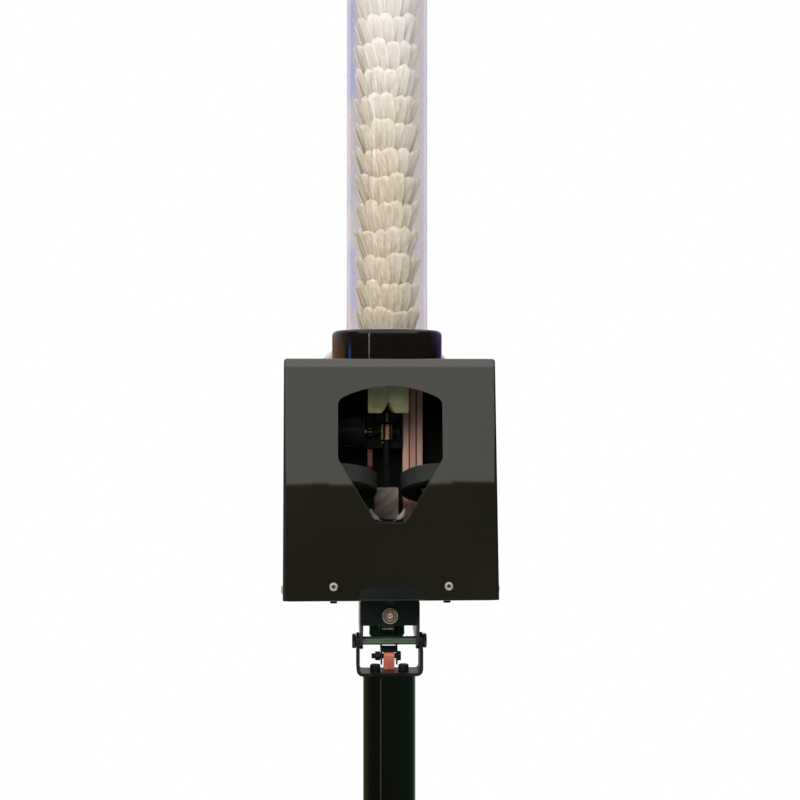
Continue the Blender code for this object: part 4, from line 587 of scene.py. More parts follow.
def block(name, low, high, soft, segments=2):
    """A box between two corners with rounded edges."""
    put_down()
    middle = [(a + b) / 2 for a, b in zip(low, high)]
    bpy.ops.mesh.primitive_cube_add(size=1, location=middle)
    piece = bpy.context.object
    piece.name = name
    piece.scale = [b - a for a, b in zip(low, high)]
    bpy.ops.object.transform_apply()
    round_edges(piece, soft, segments)
    return piece


ALONG_X = (0, math.pi / 2, 0)
ALONG_Y = (-math.pi / 2, 0, 0)
UPRIGHT = (0, 0, 0)
print("tools ready")

# %% [markdown]
# ## Pole and outer column
# Both are steel tubes. A round tube in the picture needs many sides, since its outline is seen against
# white, so the lathe makes them with ninety-six. A small chamfer at each top end catches the light.

# %% Turn the pole and the column
lowest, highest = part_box("inner_pole")
length = (highest.z - lowest.z) / MM
pole = turn_piece("pole_tube", [(23, length - 6), (23, 0), (25, 0), (25, length - 0.6), (24.4, length)], 96,
                  stand=(0, 0, lowest.z))
hand_over(pole, "pole", "pole_paint", pole_gloss, "inner_pole")
lowest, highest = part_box("column_tube")
length = (highest.z - lowest.z) / MM
column = turn_piece("outer_column", [(27.6, length), (27.6, 0), (30.1, 0), (30.1, length - 0.5),
                                     (29.6, length)], 96, hollow=True, stand=(0, 0, lowest.z))
hand_over(column, "stand", "stand_paint", satin_black, "column_tube")

# %% [markdown]
# ## Clamp collar, knob and guide bush
# The collar sits over the column's end and grips the pole through a stud. It is a turned ring with a
# boss, and the knob keeps its solid's five lobes with a softer edge.

# %% Turn the clamp
BOSS_Z = 0.7893
lowest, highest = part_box("clamp_collar")
ring_top = (highest.z - lowest.z) / MM
inner_step = (0.7803 - lowest.z) / MM
collar_ring = turn_piece("clamp_ring", [(30.4, inner_step), (30.4, 0), (40.4, 0), (41.4, 1),
                                        (41.4, ring_top - 2), (39.4, ring_top), (25.5, ring_top),
                                        (25.5, inner_step)], 96, hollow=True, stand=(0, 0, lowest.z))
boss = turn_piece("clamp_boss", [(5.3, 38), (8, 38), (8, 50.8), (7.4, 51.4), (5.3, 51.4)], 48, hollow=True,
                  stand=(0, 0, BOSS_Z), lean=ALONG_X)
clamp = weld_together("clamp_ring", collar_ring, boss)
hand_over(clamp, "stand", "stand_paint", satin_black, "clamp_collar")
dress("clamp_knob", "clamp_knob_grip", "clamp_knob", "knob_plastic", moulded_black, 1.2, 3)
dress("guide_bush", "guide_bush_nylon", "guide", "knob_plastic", moulded_black, 0.3)

# %% [markdown]
# ## Folding base
# Four square tubes turn on pins between two plates. Their shapes come from the solids. The foot's
# rubber is a second finish on the faces that lie below the tube.

# %% Dress the hub and the legs
FOOT_TOP = 13.5 * MM
dress("base_hub", "base_hub_plates", "stand", "stand_paint", satin_black, 0.6)
for corner in ("front_left", "front_right", "rear_right", "rear_left"):
    leg = dress("leg_" + corner, "leg_tube_" + corner, "leg_" + corner, "stand_paint", satin_black, 1.0, 3)
    leg.data.materials.append(foot_rubber)
    for face in leg.data.polygons:
        if face.center.z < FOOT_TOP:
            face.material_index = 1

# %% [markdown]
# ## Tilt joint
# A yoke on the pole holds the head's bracket on one bolt. Behind it a screw, a brass nut and
# a strut set the angle. Sheet parts keep their solids' shapes. The bolts are turned, and a
# hexagon is only a lathe with six sides.

# %% Dress the yoke, bracket, lug and strut
dress("yoke", "yoke_plate", "pole", "joint_paint", satin_black, 0.5)
dress("head_bracket", "head_bracket_plate", "head", "joint_paint", joint_black, 0.4)
dress("tilt_lug", "red_lug", "pole", "lug_red", red_anodised, 0.4)
dress("tilt_strut", "strut_straps", "strut", "joint_paint", joint_black, 0.2)
dress("trunnion_nut", "brass_trunnion", "trunnion", "brass", turned_brass, 0.4)


def hexagon(name, across, start, length, stand):
    """A hexagon head or nut along X with both ends chamfered."""
    corner = across / math.sqrt(3)
    flat = corner * 0.92
    end = start + length
    rings = [(flat, start), (corner, start + 0.08 * across), (corner, end - 0.08 * across), (flat, end)]
    return turn_piece(name, rings, 6, soft=0.15, stand=stand, lean=ALONG_X)


pivot_at = (0, 0, 1.2505)
pivot = weld_together(
    "pivot_bolt_and_nut",
    in_finish(bolt_zinc, turn_piece("pivot_bolt_shank", [(3.6, -35.3), (4, -34.9), (4, 34.9), (3.6, 35.3)],
                                    48, stand=pivot_at, lean=ALONG_X)),
    in_finish(joint_black, hexagon("pivot_bolt_head", 13, -35.5, 3.7, pivot_at)),
    in_finish(joint_black, hexagon("pivot_bolt_nut", 13, 31.8, 3.7, pivot_at)))
hand_over(pivot, "pole", "steel", None, "pivot_bolt")

lug_at = (0, 8 * MM, 1.2345)
lug_bolt = weld_together(
    "lug_bolt_and_nut",
    turn_piece("lug_bolt_shank", [(2.1, -16.9), (2.5, -16.5), (2.5, 11)], 32, stand=lug_at, lean=ALONG_X),
    turn_piece("lug_bolt_cap", [(4.3, 8.4), (4.5, 8.6), (4.5, 11), (4.1, 11.4), (2, 11.4), (2, 9.6)], 32,
               stand=lug_at, lean=ALONG_X),
    hexagon("lug_bolt_nut", 8, -13.4, 4.9, lug_at))
hand_over(lug_bolt, "pole", "steel", joint_black, "lug_bolt")

# %% [markdown]
# The tilt screw's front end is what the photograph shows best: a wide bright washer with a dark seat
# inside, then a bright cap with a dark floor round a copper-tinted core. The dark green of the seat and
# the floor paints the shade in these two grooves. They are six turned pieces, one inside the other,
# because each ring has a finish of its own.

# %% Turn the tilt screw and dress its star knob
SCREW_SLOPE = math.radians(10)
SCREW_LEAN = (-math.pi / 2 - SCREW_SLOPE, 0, 0)
screw_at = (0, -16 * MM, 1.276)
tail = (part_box("tilt_screw")[1].y - screw_at[1]) / math.cos(SCREW_SLOPE) / MM - 1
SCREW_RINGS = [
    ("tilt_screw_shank", zinc_steel, 40, False, [(2.4, tail), (3, tail - 0.6), (3, -1.8)]),
    ("tilt_washer", washer_nickel, 64, True, [(6.1, -1.7), (7.1, -1.7), (7.4, -2.0), (7.4, -2.9), (7.1, -3.2),
                                              (6.4, -3.2), (6.1, -2.9)]),
    # Painted shade: the dark green seat and cap floor darken the grooves of the screw's end.
    ("tilt_seat", knob_green, 64, True, [(3.1, -1.7), (6.1, -1.7), (6.1, -2.4), (3.1, -2.4)]),
    ("tilt_screw_cap", nickel, 64, True, [(4.2, -2.4), (5.0, -2.4), (5.1, -5.8), (4.8, -6.4), (4.5, -6.5),
                                          (4.2, -6.1)]),
    ("tilt_cap_floor", knob_green, 48, True, [(2.8, -3.4), (4.2, -3.4), (4.2, -4.4), (2.8, -4.4)]),
    ("tilt_screw_core", core_pink, 40, False, [(2.8, -3.4), (3.1, -5.2), (2.7, -5.8), (1.0, -6.0),
                                               (0.8, -5.0)])]
screw = weld_together("tilt_screw_with_washer", *(
    in_finish(finish, turn_piece(name, rings, steps, hollow, stand=screw_at, lean=SCREW_LEAN))
    for name, finish, steps, hollow, rings in SCREW_RINGS))
hand_over(screw, "screw", "steel", None, "tilt_screw")
dress("star_knob", "star_knob_grip", "screw", "knob_plastic", knob_green, 0.8, 3)


def socket_screw(name, place, lean, head_d, head_h, socket_d):
    """A cap screw whose socket is a pocket in its head."""
    r = head_d / 2
    s = socket_d / 2
    rings = [(r, 0), (r, head_h * 0.82), (r * 0.86, head_h), (s, head_h), (s * 0.96, head_h * 0.4)]
    return turn_piece(name, rings, 40, stand=place, lean=lean)


for word, side in SIDES:
    cap_screw = socket_screw("yoke_screw_" + word, (side * 13.5 * MM, 0, 1.2219), UPRIGHT, 10, 6, 5)
    hand_over(cap_screw, "pole", "steel", satin_black)
    small_screw = socket_screw("plate_screw_" + word, (side * 24.2 * MM, -15.9 * MM, 1.2893),
                               (math.pi / 2, 0, 0), 3.4, 0.5, 1.6)
    hand_over(small_screw, "head", "joint_paint", joint_black)
tab = block("plate_tab", (-4.6 * MM, -16.5 * MM, 1.2868), (4.6 * MM, -15.8 * MM, 1.2936), 0.25)
hand_over(tab, "head", "joint_paint", satin_black)
print("tilt joint dressed")

# %% [markdown]
# ## Hood
# The hood is one bent sheet: a leaning front, a roof and two sides. It starts as a cube. The rear and
# the underside are deleted, the top front edge is pulled back, the outer bends are bevelled, and
# Solidify gives the sheet its thickness inwards. The window, the notch and the tube's
# opening are cut last, with finer outlines than the solid has.

# %% Bend the hood
CASE_LOW, CASE_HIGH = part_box("hood")
FRONT_LEAN = 35 * MM
SHEET = 1.5 * MM
put_down()
bpy.ops.mesh.primitive_cube_add(size=1, location=(CASE_LOW + CASE_HIGH) / 2)
hood = bpy.context.object
hood.name = "hood_sheet"
hood.scale = CASE_HIGH - CASE_LOW
bpy.ops.object.transform_apply()
bpy.ops.object.mode_set(mode="EDIT")
bpy.ops.mesh.select_mode(type="FACE")
bpy.ops.mesh.select_all(action="DESELECT")
bpy.ops.object.mode_set(mode="OBJECT")
for face in hood.data.polygons:
    face.select = face.normal.y > 0.9 or face.normal.z < -0.9
bpy.ops.object.mode_set(mode="EDIT")
bpy.ops.mesh.delete(type="FACE")
bpy.ops.object.mode_set(mode="OBJECT")
for point in hood.data.vertices:
    if point.co.z > CASE_HIGH.z - MM and point.co.y < CASE_LOW.y + MM:
        point.co.y += FRONT_LEAN
shape_by(hood, "BEVEL", width=3 * MM, segments=5, limit_method="ANGLE", angle_limit=math.radians(40))
shape_by(hood, "SOLIDIFY", thickness=SHEET, offset=-1, use_even_offset=True)
print("hood faces before cutting:", len(hood.data.polygons))

# %% [markdown]
# A Boolean needs a closed cutter. Each one is an outline filled to a face and extruded through the
# sheet. The window is an arch with round shoulders over a funnel, so its outline is arcs and
# straight runs between them.

# %% Cut the window, the notch and the throat
def arc(across, up, radius, start, end, steps):
    """Points on a circle from one angle to another."""
    points = []
    for i in range(steps + 1):
        angle = math.radians(start + (end - start) * i / steps)
        points.append((across + radius * math.cos(angle), up + radius * math.sin(angle)))
    return points


def corner_arc(before, corner, after, radius, steps=8):
    """Points that round one corner of an outline."""
    here = Vector(corner)
    back = (Vector(before) - here).normalized()
    ahead = (Vector(after) - here).normalized()
    half = math.acos(max(-1, min(1, back.dot(ahead)))) / 2
    centre = here + (back + ahead).normalized() * radius / math.sin(half)
    start = here + back * radius / math.tan(half) - centre
    end = here + ahead * radius / math.tan(half) - centre
    sweep_angle = math.atan2(start.x * end.y - start.y * end.x, start.dot(end))
    points = []
    for i in range(steps + 1):
        angle = sweep_angle * i / steps
        points.append((centre.x + start.x * math.cos(angle) - start.y * math.sin(angle),
                       centre.y + start.x * math.sin(angle) + start.y * math.cos(angle)))
    return points


def mirrored(outline):
    """The same points on the other side, in the order that closes the outline."""
    return [(-x, z) for x, z in reversed(outline)]


def upright_prism(name, outline, front, rear):
    """A closed prism from an (x, z) outline."""
    return sweep(name, [(x, front, z) for x, z in outline], (0, rear - front, 0))


BEFORE_CASE = -80 * MM
HOPPER_Y = 57 * MM
HALF = 49 * MM
ARCH_RADIUS = 100 * MM
SHOULDER_RADIUS = 9 * MM
low = CASE_LOW.z
arch_z = low + 97.6 * MM
shoulder_x = 40 * MM
reach = ARCH_RADIUS - SHOULDER_RADIUS
shoulder_z = arch_z + math.sqrt(reach ** 2 - shoulder_x ** 2)
meet = math.degrees(math.acos(shoulder_x / reach))
right_shoulder = arc(shoulder_x, shoulder_z, SHOULDER_RADIUS, 0, meet, 8)
arch = arc(0, arch_z, ARCH_RADIUS, meet, 180 - meet, 24)[1:-1]
slant_top = (-HALF, low + 130.1 * MM)
slant_foot = (-13.6 * MM, low + 70.9 * MM)
left_run = (corner_arc((-HALF, shoulder_z), slant_top, slant_foot, 8 * MM)
            + corner_arc(slant_top, slant_foot, (-slant_foot[0], slant_foot[1]), 6 * MM))
window = right_shoulder + arch + mirrored(right_shoulder) + left_run + mirrored(left_run)
cut_away(hood, upright_prism("window_cutter", window, BEFORE_CASE, 20 * MM))
notch = [(28.7 * MM, low + 11.9 * MM), (-28.7 * MM, low + 11.9 * MM), (-32.8 * MM, low - 5 * MM),
         (32.8 * MM, low - 5 * MM)]
cut_away(hood, upright_prism("notch_cutter", notch, BEFORE_CASE, -20 * MM))
cut_away(hood, turn_piece("throat_cutter", [(37, -9), (37, 9)], 72, stand=(0, HOPPER_Y, CASE_HIGH.z)))
round_edges(hood, 0.35, 2, 50)
hand_over(hood, "head", "case_paint", case_gloss, "hood")
print("window points:", len(window))

# %% [markdown]
# ## Tray, rear panel and their screws
# The tray closes the case from below on four short studs. The small pan head screws on the front, the
# sides and the rear are only looks, so they are made here, each with a recess whose black floor paints
# the shade in it.

# %% Dress the tray and the rear, and set the screws
dress("base_tray", "base_tray_sheet", "head", "case_paint", joint_black, 0.4)
dress("rear_panel", "rear_panel_sheet", "head", "case_paint", satin_black, 0.35)


def pan_screw(name, place, lean):
    """A pan head screw with a domed rim and a recess whose black floor is painted shade."""
    head = [(4, -0.3), (4, 0.5), (3.72, 1.2), (3.04, 1.8), (2.24, 2.0), (2.0, 1.8), (1.92, 0.8)]
    # The black disc at the recess's floor paints the shade in the recess.
    recess = [(1.84, 0.82), (1.76, 0.95)]
    piece = weld_together(name, in_finish(nickel, turn_piece(name, head, 40, stand=place, lean=lean)),
                          in_finish(chip_black, turn_piece("recess", recess, 6, stand=place, lean=lean)))
    hand_over(piece, "head", "steel", None)


SCREW_Z = 1.308
lean_angle = math.atan2(FRONT_LEAN, CASE_HIGH.z - CASE_LOW.z)
front_y = CASE_LOW.y + (SCREW_Z - CASE_LOW.z) * math.tan(lean_angle)
for word, side in SIDES:
    pan_screw("front_screw_" + word, (side * 53.2 * MM, front_y, SCREW_Z), (math.pi / 2 - lean_angle, 0, 0))
    for number, y in enumerate((-30, 45, 115)):
        pan_screw("side_screw_%s_%d" % (word, number + 1), (side * 100 * MM, y * MM, 1.3032),
                  (0, side * math.pi / 2, 0))
    for height, z in (("low", 1.3045), ("high", 1.506)):
        pan_screw("rear_screw_%s_%s" % (word, height), (side * 88 * MM, 135 * MM, z), ALONG_Y)
dress("rocker_switch", "rocker_switch_cap", "rocker", "rocker_plastic", moulded_black, 0.4)
dress("speed_dial", "speed_dial_knob", "dial", "knob_plastic", moulded_black, 0.4)
pointer = block("dial_pointer", (19.4 * MM, 148.8 * MM, 1.3372), (20.6 * MM, 149.0 * MM, 1.3446), 0.08)
hand_over(pointer, "dial", "knob_plastic", seal_white)
print("case screws set")

# %% [markdown]
# ## Frame post
# The case hangs on one aluminium profile with a slot in each side. Its solid already has the slots,
# so it gets soft edges and a metal whose fine lines run up the post, as an extrusion's do. The front
# slot is closed by an insert between two thin dark brown rubber seals, which also paint the shade in
# the slot's gaps. The post's foot is darker with painted shade from the wheel above it, which a second
# tone, mixed in by height, paints.

# %% Dress the frame post
WHEEL_SHADE_TOP = 1.392
WHEEL_SHADE_FULL = 1.374
# Painted shade: a darker tone by height paints the wheel's shadow on the post's foot.
tone_along(post_aluminium, "Z", WHEEL_SHADE_TOP, WHEEL_SHADE_FULL, (0.105, 0.060, 0.052))
dress("frame_post", "frame_post_profile", "head", "frame_aluminium", post_aluminium, 0.25)
post_low, post_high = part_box("frame_post")
middle_x = (post_low.x + post_high.x) / 2
SLOT_EDGE = 2.7 * MM
SEAL_EDGE = 4.3 * MM
strip_low = post_low.z + 0.2 * MM
strip_high = post_high.z - 0.2 * MM
# The dark brown seals also paint the shade in the gaps beside the insert.
for word, side in SIDES:
    near, far = sorted((middle_x + side * SLOT_EDGE, middle_x + side * SEAL_EDGE))
    seal_and_shade_strip = block("slot_seal_and_shade_" + word, (near, post_low.y - 0.3 * MM, strip_low),
                       (far, post_low.y + 3.0 * MM, strip_high), 0.15)
    hand_over(seal_and_shade_strip, "head", "frame_aluminium", seal_and_gap_shade)
insert = block("slot_insert", (middle_x - SLOT_EDGE, post_low.y + 0.4 * MM, strip_low),
               (middle_x + SLOT_EDGE, post_low.y + 5.6 * MM, strip_high), 0.2)
hand_over(insert, "head", "frame_aluminium", post_aluminium)

# %% [markdown]
# ## Launch wheels and their motors
# Two soft wheels squeeze the shuttlecock between them and throw it. The tyre is turned with four
# shallow grooves. The hub is a dished disc with six round lightening holes. They are drilled while
# its axis is upright at the origin, and then it is leaned and set at the wheel's centre.

# %% Turn the wheels
WHEEL_LEAN = (-math.radians(20), 0, 0)
WHEEL_CENTRES = {word: Vector((side * 53.2 * MM, 16 * MM, 1.399)) for word, side in SIDES}
tyre_rings = [(30, 8.5), (41, 8.5), (41.7, 8.2), (42, 7.5)]
for groove in (4.5, 1.5, -1.5, -4.5):
    tyre_rings += [(42, groove + 0.30), (41.85, groove + 0.15), (41.85, groove - 0.15), (42, groove - 0.30)]
tyre_rings += [(42, -7.5), (41.7, -8.2), (41, -8.5), (30, -8.5)]
HUB_RINGS = [(3, -25.4), (3, -8.5), (9, -8.5), (9, -3), (26.8, -3), (27.7, -8.5), (29.7, -8.5), (29.7, 8.5),
             (27.7, 8.5), (26.8, 3), (9, 3), (9, 8.5), (3.2, 8.5), (3, 7.5)]
for word, centre in WHEEL_CENTRES.items():
    tyre = turn_piece("wheel_tyre_" + word + "_tread", tyre_rings, 96, hollow=True, stand=centre,
                      lean=WHEEL_LEAN)
    hand_over(tyre, "wheel_" + word, "tread_rubber", tread_rubber, "wheel_tyre_" + word)
    wheel = turn_piece("wheel_hub_" + word + "_disc", HUB_RINGS, 96)
    for hole in range(6):
        angle = math.radians(60 * hole + 30)
        cut_away(wheel, turn_piece("lightening_drill", [(4.6, -6), (4.6, 6)], 28,
                                   stand=(18 * MM * math.cos(angle), 18 * MM * math.sin(angle), 0)))
    pick_up(wheel)
    wheel.rotation_euler = WHEEL_LEAN
    wheel.location = centre
    bpy.ops.object.transform_apply()
    round_edges(wheel, 0.25, 1, 40)
    hand_over(wheel, "wheel_" + word, "wheel_plastic", moulded_black, "wheel_hub_" + word)

# %% [markdown]
# Each motor is a can under a flange, painted black. The rings in its profile are the crimped end
# caps, and the bracket holds it by the flange.

# %% Turn the motors
MOTOR_TOP = -14.8
MOTOR_PROFILE = [(3.3, 3), (8, 3), (8, 0), (20, 0), (21, -1), (21, -9), (20.5, -9.4), (20.5, -10.4),
                 (21, -10.8), (21, -56), (20.5, -56.4), (20.5, -57.4), (21, -57.8), (21, -64), (20, -65),
                 (6, -65), (6, -62)]
for word, centre in WHEEL_CENTRES.items():
    rings = [(radius, MOTOR_TOP + below) for radius, below in MOTOR_PROFILE]
    motor = turn_piece("wheel_motor_" + word + "_can", rings, 80, stand=centre, lean=WHEEL_LEAN)
    hand_over(motor, "head", "motor_can", satin_black, "wheel_motor_" + word)
    dress("motor_bracket_" + word, "motor_bracket_" + word + "_plate", "head", "frame_aluminium",
          satin_black, 0.4)
print("wheels and motors turned")

# %% [markdown]
# ## Feed jaws and their slides
# Two olive blocks hold the lowest shuttlecock by its cork and part sideways. Their solids have the
# cork's seat. One more cut gives the notch between them its curved flanks, and their meeting faces
# are brought together, as soft silicone closes without a gap. Only the seat stays as it is.

# %% Dress the jaws
SEAT_RADIUS = 16 * MM
MEETING_GAP = 0.06 * MM
FLANK = [(6.9, -1), (6.6, 0.4), (4.6, 2.8), (2.9, 5.2), (1.5, 8.0), (0.7, 10.2), (0.28, 11.6)]
cork_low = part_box("shuttle_01")[0].z
for word, side in SIDES:
    jaw = soften("jaw_" + word, "jaw_" + word + "_block", 0.5, 3, 38)
    jaw_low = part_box("jaw_" + word)[0].z
    flank = [(x * MM, jaw_low + z * MM) for x, z in FLANK]
    cut_away(jaw, upright_prism("notch_cutter", flank + mirrored(flank), 5 * MM, 46 * MM))
    for point in jaw.data.vertices:
        at_the_cork = abs(point.co.y - HOPPER_Y) < SEAT_RADIUS and point.co.z > cork_low - 0.5 * MM
        if abs(point.co.x) < 0.65 * MM and not at_the_cork:
            point.co.x = side * MEETING_GAP
    pick_up(jaw)
    bpy.ops.object.shade_smooth_by_angle(angle=math.radians(38))
    hand_over(jaw, "jaw_" + word, "jaw_green", jaw_silicone, "jaw_" + word)
dress("jaw_bracket", "jaw_slide_rails", "head", "inner_frame", satin_black, 0.25)

# %% [markdown]
# ## Pusher
# A shaft with a brass bush swings a rod, and the steel head on it pushes the fallen shuttlecock into
# the wheels. The shaft's solid carries the lever too, so here the lever is a black blade of its own
# with a red sleeve on its end, and the blade's black paints the shade on the lever's upper part. The
# bush stands upright: a black core with three upright bands of brass, bright bronze and dull grey
# before it, which paint the highlights and shade of a turned brass bush. A black guide for the cork
# crosses just above it, with a thin brass pin that paints a highlight line down its front.

# %% Build the pusher
SHAFT_Y = 78 * MM
SHAFT_Z = 1.448
shaft_at = (0, SHAFT_Y, SHAFT_Z)
shaft = weld_together(
    "pusher_shaft_bar",
    in_finish(satin_black, turn_piece(
        "pusher_shaft_bar", [(2.2, -20), (4, -19.6), (4, -10), (2.4, -9.6), (2.4, 9.0), (4, 9.4), (4, 12.6),
                             (3.5, 13.15)], 40, stand=shaft_at, lean=ALONG_X)),
    in_finish(dull_nickel, turn_piece("pusher_shaft_end", [(1.5, -22), (2.0, -21.7), (2.0, -19.9)], 24,
                                      stand=shaft_at, lean=ALONG_X)),
    in_finish(dull_nickel, hexagon("pusher_shaft_nut", 7.2, -18.8, 4.6, shaft_at)))
hand_over(shaft, "pusher", "pusher_steel", None, "pusher_shaft")


def side_plate(name, outline, left, right, finish):
    """A plate of the pusher, from a (y, z) outline."""
    piece = sweep(name, [(left, y, z) for y, z in outline], (right - left, 0, 0))
    round_edges(piece, 0.5)
    hand_over(piece, "pusher", "pusher_steel", finish)


lever_outline = arc(SHAFT_Y, 1.4465, 5 * MM, 0, 180, 16) + [(74 * MM, 1.4306), (82 * MM, 1.4306)]
sleeve_outline = [(82 * MM, 1.4303), (74 * MM, 1.4303)] + arc(SHAFT_Y, 1.4152, 4 * MM, 180, 360, 16)
# Painted shade: the blade is black to paint the shade on the lever's upper part.
side_plate("lever_blade", lever_outline, -14.0 * MM, -12.6 * MM, satin_black)
side_plate("lever_sleeve", sleeve_outline, -19.0 * MM, -14.0 * MM, lever_red)

# The black core and three bands paint a turned bush's shading: brass and bright bronze its highlights, black
# its shade, dull grey a dim reflection.
BAND_REACH = 6.3
core_rings = [(3.2, -7.4), (5.6, -7.4), (5.9, -7.0), (5.9, 7.0), (5.6, 7.4), (3.2, 7.4), (3.0, 6.8)]
painted_bands = [in_finish(joint_black, turn_piece("bush_core", core_rings, 56, stand=shaft_at))]
for name, across, radius, metal in (("gold", -3.9, 1.6, turned_brass), ("bronze", 0.5, 3.0, bush_highlight_bronze),
                                    ("dull", 4.9, 1.1, bush_reflection_grey)):
    forward = math.sqrt(BAND_REACH ** 2 - across ** 2) - radius
    rings = [(radius * 0.9, -7.6), (radius, -7.3), (radius, 7.2), (radius * 0.9, 7.5)]
    painted_band = turn_piece("bush_painted_band_" + name, rings, 32, stand=(across * MM, SHAFT_Y - forward * MM, SHAFT_Z))
    painted_bands.append(in_finish(metal, painted_band))
hand_over(weld_together("brass_bush_with_painted_bands", *painted_bands), "pusher", "brass", None, "pusher_bush")
grub = turn_piece("grub_screw", [(0.6, 0), (0.8, 0.3), (0.8, 1.6)], 16, stand=(-4 * MM, 73.4 * MM, 1.4372),
                  lean=ALONG_Y)
hand_over(grub, "pusher", "pusher_steel", dull_nickel)
guide_block = block("cork_guide_block", (-10.2 * MM, 72 * MM, 1.4582), (10.2 * MM, 86 * MM, 1.4668), 0.4)
hand_over(guide_block, "head", "inner_frame", satin_black)
guide_column = block("cork_guide_column", (-5.8 * MM, 70.4 * MM, 1.4582), (6.2 * MM, 72 * MM, 1.4670), 0.3)
hand_over(guide_column, "head", "inner_frame", joint_black)
# The thin brass pin paints a highlight line down the black guide column.
highlight_pin = turn_piece("cork_guide_highlight_pin", [(1.2, 0), (1.5, 0.4), (1.5, 8.4), (1.2, 8.8)], 24,
                 stand=(0.4 * MM, 69.9 * MM, 1.4580))
hand_over(highlight_pin, "head", "brass", turned_brass)

# %% [markdown]
# The rod has one groove. The head's lower corners are rounded more than its upper ones, because they
# pass the trough's lips when the pusher swings. The feed motor stands beside them on the shaft's axis.

# %% Build the rod, the head and the feed motor
HEAD_TOP = 1.392
HEAD_HALF = 12.25 * MM
arm_low, arm_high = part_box("pusher_arm")
rod_top = (arm_high.z - HEAD_TOP) / MM
rod = turn_piece("pusher_rod", [(2.6, rod_top + 1), (3, rod_top), (3, 22), (2.5, 21.5), (2.5, 19.5), (3, 19),
                                (3, -2)], 36, stand=(0, SHAFT_Y, HEAD_TOP))
low_left, low_right = (-HEAD_HALF, arm_low.z), (HEAD_HALF, arm_low.z)
top_right, top_left = (HEAD_HALF, HEAD_TOP), (-HEAD_HALF, HEAD_TOP)
head_outline = (corner_arc(top_left, low_left, low_right, 5 * MM, 10)
                + corner_arc(low_left, low_right, top_right, 5 * MM, 10)
                + corner_arc(low_right, top_right, top_left, 1.5 * MM, 6)
                + corner_arc(top_right, top_left, low_left, 1.5 * MM, 6))
head_block = upright_prism("pusher_head", head_outline, 73 * MM, 83 * MM)
round_edges(head_block, 0.7, 3)
arm = weld_together("pusher_rod_and_head", in_finish(satin_black, rod), in_finish(brushed_head, head_block))
hand_over(arm, "pusher", "steel", None, "pusher_arm")
dress("pusher_bracket", "pusher_bracket_plate", "head", "inner_frame", satin_black, 0.3)
feed_can = turn_piece("feed_motor_can",
                      [(4.3, -24.8), (15.4, -24.8), (16, -25.4), (16, -44), (15.5, -44.4), (15.5, -45.2),
                       (16, -45.6), (16, -74.2), (15.4, -74.8), (5, -74.8), (5, -73)], 64,
                      stand=shaft_at, lean=ALONG_X)
hand_over(feed_can, "head", "motor_can", satin_black, "feed_motor")
print("pusher built")

# %% [markdown]
# ## Cradle
# The trough under the jaws catches the shuttlecock. It is dark inside. Two cream lips at its mouth are
# the brightest thing in the lower window, and a black stop closes the gap below them.

# %% Dress the cradle
LIP = [(18.2, -1.2), (15.6, -1.6), (13.4, -5.4), (8.6, -9.6), (8.8, -12.4), (12.6, -12.2), (16.4, -8.8)]
dress("cradle", "cradle_trough", "head", "cradle_plastic", trough_grey, 0.4, 3, 40)
lip_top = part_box("cradle")[1].z + 2.2 * MM
for word, side in SIDES:
    lip = upright_prism("cradle_lip_" + word, [(side * x * MM, lip_top + z * MM) for x, z in LIP],
                        40.3 * MM, 43.2 * MM)
    round_edges(lip, 0.9, 4)
    hand_over(lip, "head", "cradle_plastic", lip_cream)
front_stop = block("cradle_stop", (-9.0 * MM, 40.4 * MM, lip_top - 17.6 * MM),
                   (9.0 * MM, 42.6 * MM, lip_top - 13.4 * MM), 0.6, 3)
hand_over(front_stop, "head", "cradle_plastic", satin_black)

# %% [markdown]
# ## Battery and control board
# These lie hidden behind the front. The battery is a shrink-wrapped pack with rounded edges.
# The board carries a few more parts than its solid does.

# %% Dress the battery and the board
BOARD_TOP = 1.3041
dress("battery", "battery_pack", "head", "battery_wrap", battery_wrap, 1.2, 3)
dress("control_board", "control_board_plate", "head", "board", board_green, 0.2)
for index, (x, y, w, d, h) in enumerate(((50, 112, 12, 8, 3), (52, 98, 6, 9, 2), (60, 84, 9, 9, 2),
                                         (50, 70, 8, 12, 5), (84, 66, 10, 6, 4), (66, 66, 7, 5, 3))):
    chip = block("board_part_%d" % (index + 1), ((x - w / 2) * MM, (y - d / 2) * MM, BOARD_TOP),
                 ((x + w / 2) * MM, (y + d / 2) * MM, BOARD_TOP + h * MM), 0.2)
    hand_over(chip, "head", "board", chip_black)

# %% [markdown]
# ## Tube collar, seal and handle
# The collar is turned with a rounded upper rim. A thin pale seal shows at the tube's foot. The bent
# grey handle stands behind them, made a little wider than its solid so that both its ends show.

# %% Turn the collar and dress the handle
HANDLE_STRETCH = 1.03
collar_at = (0, HOPPER_Y, CASE_HIGH.z)
collar_h = (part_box("tube_collar")[1].z - CASE_HIGH.z) / MM
collar_rings = ([(37, 3.5), (37, 0.3), (54.5, 0.3)] + arc(50, collar_h - 4.5, 4.5, 0, 90, 8)
                + [(40.8, collar_h), (40.3, collar_h - 0.4), (40.3, 3.5)])
tube_collar = turn_piece("tube_collar_turned", collar_rings, 128, hollow=True, stand=collar_at)
hand_over(tube_collar, "head", "collar_plastic", collar_gloss, "tube_collar")
seal = turn_piece("tube_seal_ring", [(40.05, collar_h - 0.4), (41.6, collar_h + 0.02), (41.2, collar_h + 0.5),
                                     (40.05, collar_h + 0.7)], 96, hollow=True, stand=collar_at)
hand_over(seal, "head", "tube_clear", seal_white)
handle = soften("carry_handle", "carry_handle_strap", 1.2, 3)
pick_up(handle)
handle.scale = (HANDLE_STRETCH, 1, 1)
bpy.ops.object.transform_apply()
hand_over(handle, "head", "handle_plastic", handle_grey, "carry_handle")

